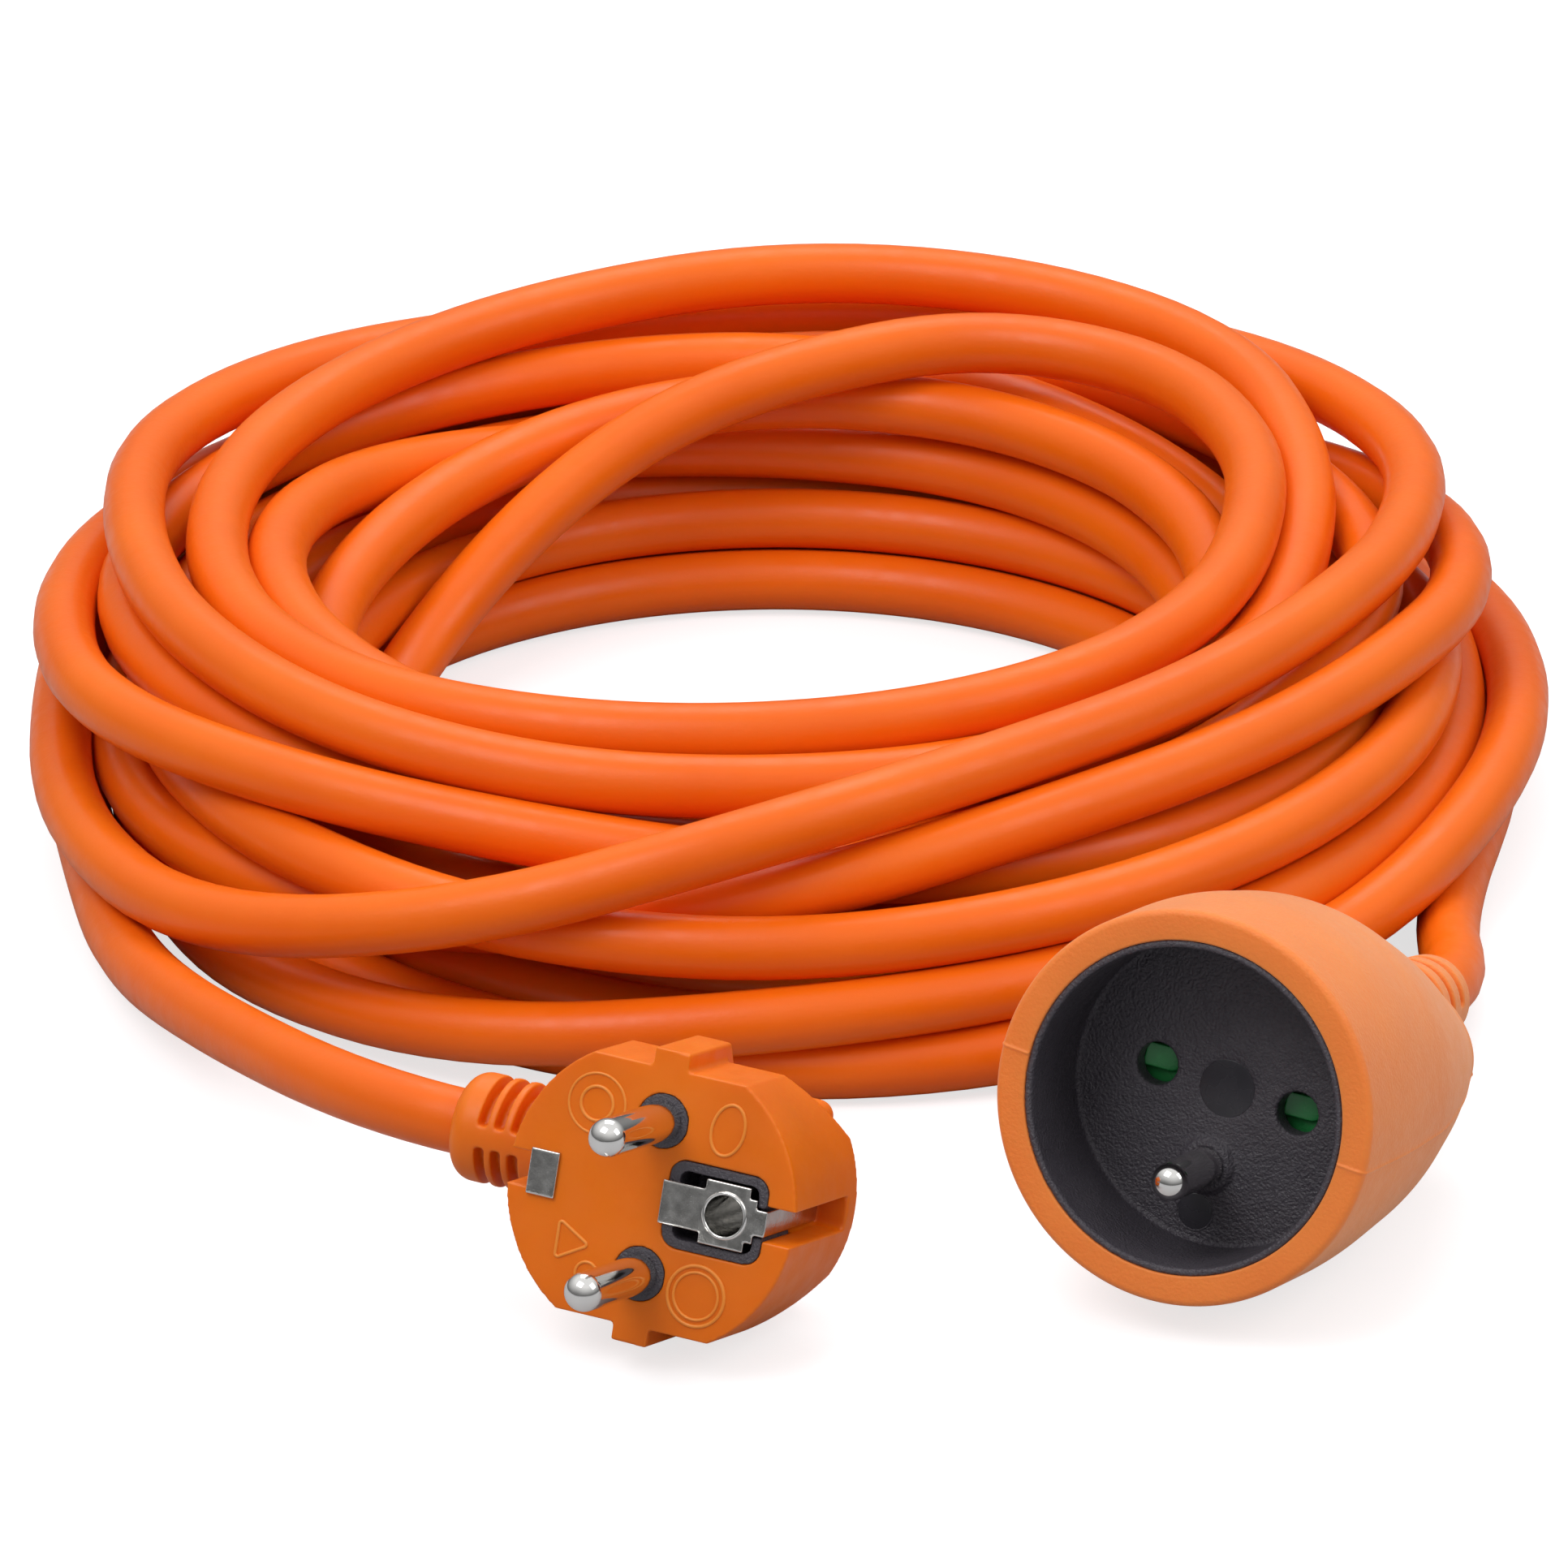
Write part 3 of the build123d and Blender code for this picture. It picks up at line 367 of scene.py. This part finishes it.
def welded(mesh):
    """Joins points that coincide, drops faces without area and turns all faces outwards."""
    work = bmesh.new()
    work.from_mesh(mesh)
    bmesh.ops.remove_doubles(work, verts=work.verts, dist=2e-6)
    bmesh.ops.recalc_face_normals(work, faces=work.faces)
    work.to_mesh(mesh)
    work.free()


def grid_piece(name, points, material, body, turn, nodes=(), sharp=None):
    """Mesh piece from a grid of points (rows, columns, 3) in the millimetres of a face. Both
    ends of each row meet; rows at a pole are points that coincide and are joined."""
    rows, columns = points.shape[:2]
    down, right = np.meshgrid(np.arange(rows - 1), np.arange(columns), indexing="ij")
    beside = (right + 1) % columns
    quads = np.stack([down * columns + right, down * columns + beside,
                      (down + 1) * columns + beside, (down + 1) * columns + right], -1)
    spots = points.reshape(-1, 3) @ turn[:3, :3].T + turn[:3, 3]
    mesh = bpy.data.meshes.new(name)
    mesh.from_pydata(spots.tolist(), [], quads.reshape(-1, 4).tolist())
    welded(mesh)
    mesh.shade_smooth()
    if sharp:
        mesh.set_sharp_from_angle(angle=np.radians(sharp))
    mesh.materials.append(material)
    made = bpy.data.objects.new(name, mesh)
    bpy.context.scene.collection.objects.link(made)
    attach(made, body)
    if nodes:
        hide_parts(*nodes)
    return made


def arc(middle, radius, start, stop, steps):
    """Points of an arc about middle, from one angle to another in degrees."""
    turn = np.radians(np.linspace(start, stop, steps))
    return np.column_stack([middle[0] + radius * np.cos(turn), middle[1] + radius * np.sin(turn)])


def turned(profile, centre, sides=96):
    """Surface of revolution: every (radius, height) of the profile goes round an axis that
    stands on centre, along the face's z."""
    turn = np.linspace(0, 2 * np.pi, sides, endpoint=False)
    radius, height = np.asarray(profile, float).T
    return np.stack([centre[0] + radius[:, None] * np.cos(turn),
                     centre[1] + radius[:, None] * np.sin(turn),
                     np.broadcast_to(height[:, None], (len(height), sides))], -1)


nickel = finish("nickel", (0.86, 0.85, 0.83), (0.78, 0.77, 0.75), patches=160, grain=900,
                smooth=0.06, rough=0.14, bump=0.03, depth=0.0001, Metallic=1.0)


def pin_profile(root, top, back, collar):
    """Half outline of a pin, from the floor of its crimp hole round to the top of the dome."""
    hole_floor = back + BARREL_HOLE_DEEP
    outline = [(0, hole_floor), (BARREL_HOLE_R, hole_floor), (BARREL_HOLE_R, back),
               (BARREL_R, back)]
    if collar:
        outline += [(BARREL_R, COLLAR_BACK), (COLLAR_R, COLLAR_BACK),
                    (COLLAR_R, COLLAR_FRONT), (BARREL_R, COLLAR_FRONT)]
    outline += [(BARREL_R, root), (PIN_R - PIN_EDGE, root), (PIN_R, root + PIN_EDGE)]
    dome = arc((PIN_R - PIN_NOSE, top - PIN_NOSE), PIN_NOSE, 0, 90, 14)
    return np.vstack([outline, dome, [(0, top)]])


plug_pins = [
    grid_piece(f"pin_{side}", turned(pin_profile(0.1, PIN_LONG, PIN_BACK, True), (0, place)),
               nickel, "cord_set", PLUG, nodes=[node], sharp=35)
    for side, node, place in (("line", "plug_line_pin", PIN_PITCH / 2),
                              ("neutral", "plug_neutral_pin", -PIN_PITCH / 2))]

# ---- plug earth contact -----------------------------------------------------
# One nickel-plated brass strip, stamped and bent: side springs in the slot and the notch,
# a plate on the face and a rolled tube for the earth pin. Hooked over the carrier.
def softened(node, name, grid, rounds, material, turn, body="cord_set"):
    """The CAD node as it leaves its tool, with every corner a little round: its welded
    surface is laid over a fine grid turned with its face, and each point then moves
    halfway to the middle of its neighbours a few times."""
    mesh = frame["nodes"][node].data.copy()
    welded(mesh)
    mesh.transform(Matrix(np.linalg.inv(turn).tolist()))
    made = bpy.data.objects.new(name, mesh)
    bpy.context.scene.collection.objects.link(made)
    cells = made.modifiers.new("cells", "REMESH")
    cells.mode = "VOXEL"
    cells.voxel_size = grid * 1
    even = made.modifiers.new("even", "SMOOTH")
    even.factor, even.iterations = 0.5, rounds
    seen = made.evaluated_get(bpy.context.evaluated_depsgraph_get())
    done = bpy.data.meshes.new_from_object(seen)
    made.modifiers.clear()
    done.transform(Matrix(turn.tolist()))
    done.name = name
    done.materials.clear()
    done.materials.append(material)
    done.shade_smooth()
    made.data = done
    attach(made, body)
    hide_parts(node)
    return made


strip_nickel = finish("strip_nickel", (0.66, 0.65, 0.63), (0.54, 0.53, 0.51), patches=900,
                      grain=2600, smooth=0.1, rough=0.22, bump=0.2, depth=0.0001, Metallic=1.0)
earth_strip = softened("plug_earth_contact", "earth_strip", grid=0.14, rounds=3,
                       material=strip_nickel, turn=PLUG)

# ---- plug carrier -----------------------------------------------------------
# Black moulded bridge that holds pins and earth strip in line in the tool. Its rings
# round the pins and its frame round the earth tube lie flush in the plug's face.
insert_black = finish("insert_black", (0.066, 0.058, 0.070), (0.052, 0.045, 0.056), patches=90,
                      grain=2700, smooth=0.32, rough=0.48, bump=0.85, depth=0.0004)
carrier = softened("plug_contact_carrier", "plug_carrier", grid=0.2, rounds=3,
                   material=insert_black, turn=PLUG)

# ---- plug boot and body -----------------------------------------------------
# Soft PVC moulded in one shot over carrier, contacts and cable. The boot's slots let the
# cable bend; the satin skin is a little translucent at its edges.
moulding_orange = finish("moulding_orange", (0.83, 0.17, 0.001), (0.76, 0.145, 0.001),
                         patches=70, grain=1300, smooth=0.36, rough=0.5, bump=0.14,
                         depth=0.0002, Subsurface_Weight=0.2, Specular_IOR_Level=0.35,
                         Subsurface_Radius=(0.004, 0.0014, 0.0003), Subsurface_Scale=1.0)
plug_boot = softened("plug_boot", "boot_of_plug", grid=0.2, rounds=4,
                     material=moulding_orange, turn=PLUG)
plug_body = softened("plug_body", "body_of_plug", grid=0.28, rounds=4,
                     material=moulding_orange, turn=PLUG)

# ---- marks on the plug's face -----------------------------------------------
# Plain raised outlines, cut into the tool and moulded with the body, a quarter of a
# millimetre high: a dial with its rim, an oval, two rings in each other, a small ring
# and a triangle.
# the outlines get a lighter orange than the body, though they are the same plastic: a painted
# highlight for the light that catches their raised edges and shines through them
mark_highlight_orange = finish("mark_highlight_orange", (0.86, 0.27, 0.03), (0.80, 0.23, 0.02), patches=70,
                     grain=1300, smooth=0.32, rough=0.42, bump=0.1, depth=0.0002)


def bead(name, path, wide, high, level=0.0, material=mark_highlight_orange,
         turn=PLUG):
    """Raised line on a face: an ellipse of half axes wide and high carried along a closed
    path in the plane of the face, across the path and along z."""
    ahead = np.roll(path, -1, 0) - np.roll(path, 1, 0)
    ahead /= np.linalg.norm(ahead, axis=1)[:, None]
    across = np.column_stack([ahead[:, 1], -ahead[:, 0]])
    around = np.linspace(0, 2 * np.pi, 12, endpoint=False)
    flat = path[:, None] + across[:, None] * (wide * np.cos(around))[None, :, None]
    up = np.broadcast_to(level + high * np.sin(around), flat.shape[:2])
    tube = np.concatenate([flat, up[..., None]], -1)
    return grid_piece(name, np.concatenate([tube, tube[:1]]), material, "cord_set", turn)


def oval(middle, half_x, half_y, lean=0, steps=96):
    """Closed ellipse in the plane of a face, leaning by some degrees."""
    turn, lean = np.linspace(0, 2 * np.pi, steps, endpoint=False), np.radians(lean)
    x, y = half_x * np.cos(turn), half_y * np.sin(turn)
    return np.column_stack([middle[0] + x * np.cos(lean) - y * np.sin(lean),
                            middle[1] + x * np.sin(lean) + y * np.cos(lean)])


def three_sided(middle, size, lean, corner=0.35, steps=20):
    """Closed triangle with rounded corners: an arc round each corner, straight between."""
    parts = [arc(size * np.array([np.cos(a), np.sin(a)]), corner, np.degrees(a) - 60,
                 np.degrees(a) + 60, steps)
             for a in np.radians(lean + np.array([0, 120, 240]))]
    return np.vstack(parts) + middle


DIAL_AT, OVAL_AT, RINGS_AT = (-8.67, 9.81), (8.6, 10.2), (7.77, -10.55)
SMALL_RING_AT, TRIANGLE_AT = (-6.72, -10.97), np.array((-9.7, -7.5))
face_marks = [
    bead("mark_dial", oval(DIAL_AT, 2.1, 2.1), wide=0.22, high=0.24),
    bead("mark_dial_rim", oval(DIAL_AT, 3.7, 3.7), wide=0.17, high=0.18),
    bead("mark_oval", oval(OVAL_AT, 2.1, 3.2, lean=-10), wide=0.22, high=0.24),
    bead("mark_ring_outer", oval(RINGS_AT, 3.7, 3.7), wide=0.24, high=0.24),
    bead("mark_ring_inner", oval(RINGS_AT, 2.9, 2.9), wide=0.2, high=0.22),
    bead("mark_ring_small", oval(SMALL_RING_AT, 1.45, 1.45), wide=0.2, high=0.22),
    bead("mark_triangle", three_sided(TRIANGLE_AT, 2.1, lean=0), wide=0.22, high=0.24),
]

# the rolled mouth of the earth tube stands up from the strip as a thin bright lip
TUBE_LINE, TUBE_LIP_R, STRIP_PROUD = 10.0, 2.72, 0.5
tube_lip = bead("tube_lip", oval((TUBE_LINE, 0), TUBE_LIP_R, TUBE_LIP_R), wide=0.26, high=0.3,
                level=STRIP_PROUD, material=nickel)

# ---- socket contacts, carrier and shutter spring ----------------------------
# Behind the insert a black carrier holds the split brass tubes and the track of the
# shutter. They hardly show, so their CAD parts stay. The shutter's small spring is a
# helix of steel wire that sits in the track and shortens as the shutter moves aside.
brass = finish("contact_brass", (0.74, 0.60, 0.31), (0.64, 0.50, 0.24), patches=400,
               grain=2400, smooth=0.2, rough=0.4, bump=0.15, depth=0.0001, Metallic=1.0)
spring_steel = finish("spring_steel", (0.58, 0.58, 0.59), (0.46, 0.46, 0.47), patches=600,
                      grain=2600, smooth=0.22, rough=0.4, bump=0.12, depth=0.0001,
                      Metallic=1.0)
paint("socket_line_contact", brass)
paint("socket_neutral_contact", brass)
paint("socket_carrier", insert_black)
SPRING_START, SPRING_END, SPRING_DEEP = -12.95, -19.2, 20.0
SPRING_R, SPRING_TURNS, WIRE_R = 1.4, 4, 0.2


def spring_wire(steps=240, sides=12):
    """Round wire carried along a helix about the line of the holes: at each step a circle in
    the plane of the helix radius and its axis, shrunk to a point at both ends."""
    along = np.concatenate([[0], np.linspace(0, 1, steps), [1]])[:, None]
    wind = 2 * np.pi * SPRING_TURNS * along
    round_wire = np.linspace(0, 2 * np.pi, sides, endpoint=False)
    thick = np.full((len(along), 1), WIRE_R)
    thick[[0, -1]] = 0
    reach = SPRING_R + thick * np.cos(round_wire)
    x = SPRING_START + (SPRING_END - SPRING_START) * along + thick * np.sin(round_wire)
    return np.stack([x, reach * np.cos(wind), reach * np.sin(wind) - SPRING_DEEP], -1)


shutter_spring = grid_piece("spring_of_shutter", spring_wire(), spring_steel,
                            "cord_set", SOCKET, nodes=["shutter_spring"])
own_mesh(shutter_spring)

# ---- socket shutter ---------------------------------------------------------
# Green glossy slide with a ramped tongue under each hole. Both pins of a plug have to
# push it aside at once; it runs in the carrier's track against the spring.
shutter_green = finish("shutter_green", (0.035, 0.32, 0.085), (0.026, 0.25, 0.066),
                       patches=260, grain=1800, smooth=0.2, rough=0.34, bump=0.08,
                       depth=0.0001)
softened("shutter", "shutter_slide", grid=0.12, rounds=5, material=shutter_green,
         turn=SOCKET, body="shutter")

# ---- socket insert and earth pin --------------------------------------------
# Hard black cup with two pin holes, a sunk disc between them and a low boss, out of
# which the nickel-plated earth pin stands. Its floor has the tool's spark-eroded grain.
RECESS_DEPTH, EARTH_LINE, EJECTOR_AT = 15.0, -10.0, (0.1, -16.0)
EARTH_ROOT, EARTH_TOP, EARTH_BACK = -14.3, -1.0, -42.0
PLATE_EDGE, PLATE_THICK = 0.1, 0.2
softened("socket_insert", "insert_of_socket", grid=0.3, rounds=3, material=insert_black,
         turn=SOCKET)
bead("ejector_mark", oval(EJECTOR_AT, 2.4, 2.4), wide=0.12, high=0.1, level=-RECESS_DEPTH,
     material=insert_black, turn=SOCKET)
black_gloss = finish("black_gloss", (0.026, 0.023, 0.03), (0.020, 0.018, 0.024), patches=300,
                     grain=1500, smooth=0.22, rough=0.3, bump=0.05, depth=0.0001)


def plate(name, centre, radius, level):
    """Thin round plate with a small round edge, its top at level on the recess floor."""
    edge = arc((radius - PLATE_EDGE, level - PLATE_EDGE), PLATE_EDGE, 0, 90, 5)
    bottom = level - PLATE_THICK
    outline = np.vstack([[(0, bottom), (radius, bottom)], edge, [(0, level)]])
    grid_piece(name, turned(outline, centre), black_gloss, "cord_set", SOCKET)


plate("middle_disc", (0, 0), radius=3.6, level=-RECESS_DEPTH - 0.12)
plate("ejector_disc", EJECTOR_AT, radius=2.25, level=-RECESS_DEPTH + 0.03)
grid_piece("earth_pin",
           turned(pin_profile(EARTH_ROOT, EARTH_TOP, EARTH_BACK, False), (0, EARTH_LINE)),
           nickel, "cord_set", SOCKET, nodes=["socket_earth_pin"], sharp=35)

# ---- socket body and boot ---------------------------------------------------
# Matt soft PVC moulded over insert and carrier: round at the mouth, flatter towards the
# tail, with the two tool halves' parting line along the line of the holes.
MOUTH_R, INSERT_R, BOOT_R, SOCKET_LONG = 24.4, 20.6, 7.4, 60.0
LIP_OUT, LIP_IN, REAR_ROUND = 0.9, 0.3, 2.0
SEAM_HIGH, SEAM_WIDE, CROWDING = 0.16, 0.2, 0.42
# depth behind the face, half width and half height, on the skin and in the cavity
SKIN = np.array([(0, MOUTH_R, MOUTH_R), (15, MOUTH_R, MOUTH_R), (31, 23.4, 21.9),
                 (46, 20.2, 16.4), (SOCKET_LONG, 15.8, 9.6)])
CAVITY = np.array([(SOCKET_LONG, BOOT_R, BOOT_R), (54.5, BOOT_R, BOOT_R), (53, 9, 8),
                   (42, 17.2, 15.8), (24, INSERT_R, 19.8), (18, INSERT_R, INSERT_R),
                   (9, INSERT_R, INSERT_R), (LIP_IN, INSERT_R, INSERT_R)])


def skin_at(depth):
    """Half width and half height of the skin: the straight lines between the sections,
    averaged over eight millimetres along the depth."""
    span = np.linspace(-4, 4, 17)
    return np.stack([np.mean([np.interp(depth + step, SKIN[:, 0], SKIN[:, side])
                              for step in span], 0) for side in (1, 2)], -1)


def socket_shell(columns=420):
    """Closed wall of the socket: a loop of (depth, half width, half height) rows runs down
    the skin, round the rear edge, in to the boot, back up the cavity and over the lip; each
    row is an ellipse whose points crowd at the parting line, where a low ridge stands."""
    rear_start = SOCKET_LONG - REAR_ROUND
    depth = np.linspace(LIP_OUT, rear_start, 60)
    skin = np.column_stack([depth, skin_at(depth)])
    bend = np.radians(np.linspace(10, 90, 9))
    inset = REAR_ROUND * (1 - np.cos(bend))
    rear = np.column_stack([rear_start + REAR_ROUND * np.sin(bend), skin[-1, 1] - inset,
                            skin[-1, 2] - inset])
    face_in = arc((INSERT_R + LIP_IN, LIP_IN), LIP_IN, 180, 270, 6)
    face_out = arc((MOUTH_R - LIP_OUT, LIP_OUT), LIP_OUT, 270, 360, 12)
    lip = np.vstack([face_in, face_out])[:, [1, 0, 0]]
    rows = np.vstack([skin, rear, CAVITY, lip, skin[:1]])
    even = np.linspace(0, 2 * np.pi, columns, endpoint=False)
    turn = even - CROWDING * np.sin(2 * even)
    deep, wide, tall = rows.T[:, :, None]
    x, y = wide * np.cos(turn), tall * np.sin(turn)
    ridge = SEAM_HIGH * np.exp(-(y / SEAM_WIDE) ** 2)
    outside = np.ones((len(rows), 1))
    inner = len(skin) + len(rear)
    outside[inner:inner + len(CAVITY)] = 0
    at_face = np.clip(1 - deep / LIP_OUT, 0, 1)
    stands = ridge * outside
    return np.stack([x + stands * (1 - at_face) * np.sign(x), y, -deep + stands * at_face], -1)


socket_orange = finish("socket_orange", (0.90, 0.235, 0.03), (0.84, 0.20, 0.022), patches=55,
                       grain=2300, smooth=0.5, rough=0.62, bump=0.5, depth=0.0002,
                       Subsurface_Weight=0.2, Subsurface_Radius=(0.004, 0.0014, 0.0004),
                       Subsurface_Scale=1.0, Sheen_Weight=0.45, Sheen_Roughness=0.5,
                       Sheen_Tint=(1, 0.72, 0.52, 1))
grid_piece("body_of_socket", socket_shell(), socket_orange, "cord_set",
           SOCKET, nodes=["socket_body"])
softened("socket_boot", "boot_of_socket", grid=0.22, rounds=4, material=socket_orange,
         turn=SOCKET)

# ---- the cord as a free cord ------------------------------------------------
# The hank and both leads are one length of flex: it leaves the socket's tail and carries
# the whole plug, with its contacts and marks, on its other end.
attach(cord, "cord_set")
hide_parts("cable_coil", "plug_lead", "socket_lead")

# ---- floor, light and camera ------------------------------------------------
# Pale seamless floor, a white room that is dimmer towards the horizon, and three soft
# boxes: a broad one high on the left, one on the right and one behind.
FLOOR_HALF, FLOOR_STEPS, FLOOR_LEVEL = 4.0, 9, -0.0002
floor_line = np.linspace(-FLOOR_HALF, FLOOR_HALF, FLOOR_STEPS)
across, away = np.meshgrid(floor_line, floor_line)
level = np.full(across.shape, FLOOR_LEVEL)
corner = np.arange(FLOOR_STEPS ** 2).reshape(FLOOR_STEPS, FLOOR_STEPS)
tiles = np.stack([corner[:-1, :-1], corner[:-1, 1:], corner[1:, 1:], corner[1:, :-1]], -1)
floor_mesh = bpy.data.meshes.new("floor")
floor_mesh.from_pydata(np.stack([across, away, level], -1).reshape(-1, 3).tolist(), [],
                       tiles.reshape(-1, 4).tolist())
floor_white = finish("floor_white", (0.42, 0.42, 0.43), (0.40, 0.40, 0.41), patches=8,
                     grain=300, smooth=0.6, rough=0.7, bump=0.03, depth=0.0002,
                     Emission_Color=(1, 1, 1, 1))
# the floor glows a little for the camera alone, so that it looks white and lights nothing
tree = floor_white.node_tree
seen_floor = tree.nodes.new("ShaderNodeLightPath")
lift = tree.nodes.new("ShaderNodeMath")
lift.operation, lift.inputs[1].default_value = "MULTIPLY", 0.72
tree.links.new(seen_floor.outputs["Is Camera Ray"], lift.inputs[0])
tree.links.new(lift.outputs[0], tree.nodes["Principled BSDF"].inputs["Emission Strength"])
floor_mesh.materials.append(floor_white)
floor = bpy.data.objects.new("floor", floor_mesh)
bpy.context.scene.collection.objects.link(floor)

world = bpy.data.worlds.new("room")
world.use_nodes = True
sky = world.node_tree
background = sky.nodes["Background"]
direction = sky.nodes.new("ShaderNodeTexCoord")
parts_of = sky.nodes.new("ShaderNodeSeparateXYZ")
rise = sky.nodes.new("ShaderNodeMapRange")
# how bright the room is from just above the horizon to overhead; the camera sees it white
for label, value in (("From Min", 0.05), ("From Max", 0.75), ("To Min", 0.12), ("To Max", 0.9)):
    rise.inputs[label].default_value = value
seen = sky.nodes.new("ShaderNodeLightPath")
brighter = sky.nodes.new("ShaderNodeMath")
brighter.operation = "ADD"
sky.links.new(direction.outputs["Generated"], parts_of.inputs[0])
sky.links.new(parts_of.outputs["Z"], rise.inputs["Value"])
sky.links.new(rise.outputs["Result"], brighter.inputs[0])
sky.links.new(seen.outputs["Is Camera Ray"], brighter.inputs[1])
sky.links.new(brighter.outputs[0], background.inputs["Strength"])
background.inputs["Color"].default_value = (1, 1, 1, 1)
bpy.context.scene.world = world
AIM = np.array((0.0, 0.0, 0.02))
for name, place, size, power in (("softbox_left", (-0.7, -0.7, 1.5), 0.9, 10.8),
                                 ("softbox_right", (1.2, -0.5, 1.1), 0.8, 5),
                                 ("softbox_behind", (0.1, 0.9, 1.4), 1.0, 7)):
    lamp = bpy.data.lights.new(name, "AREA")
    lamp.size, lamp.energy = size, power
    box = bpy.data.objects.new(name, lamp)
    box.location = place
    facing = np.array(place) - AIM
    box.rotation_euler = Euler((np.arctan2(np.hypot(facing[0], facing[1]), facing[2]), 0,
                                np.arctan2(facing[0], -facing[1])))
    bpy.context.scene.collection.objects.link(box)

lens = bpy.data.cameras.new("camera")
lens.lens, lens.sensor_width = 311.7, 36.0
camera = bpy.data.objects.new("camera", lens)
camera.location = (0.0, -1.6001, 0.7321)
camera.rotation_euler = Euler((np.radians(66), 0, 0))
bpy.context.scene.collection.objects.link(camera)
bpy.context.scene.camera = camera
bpy.context.scene.view_settings.view_transform = "Standard"
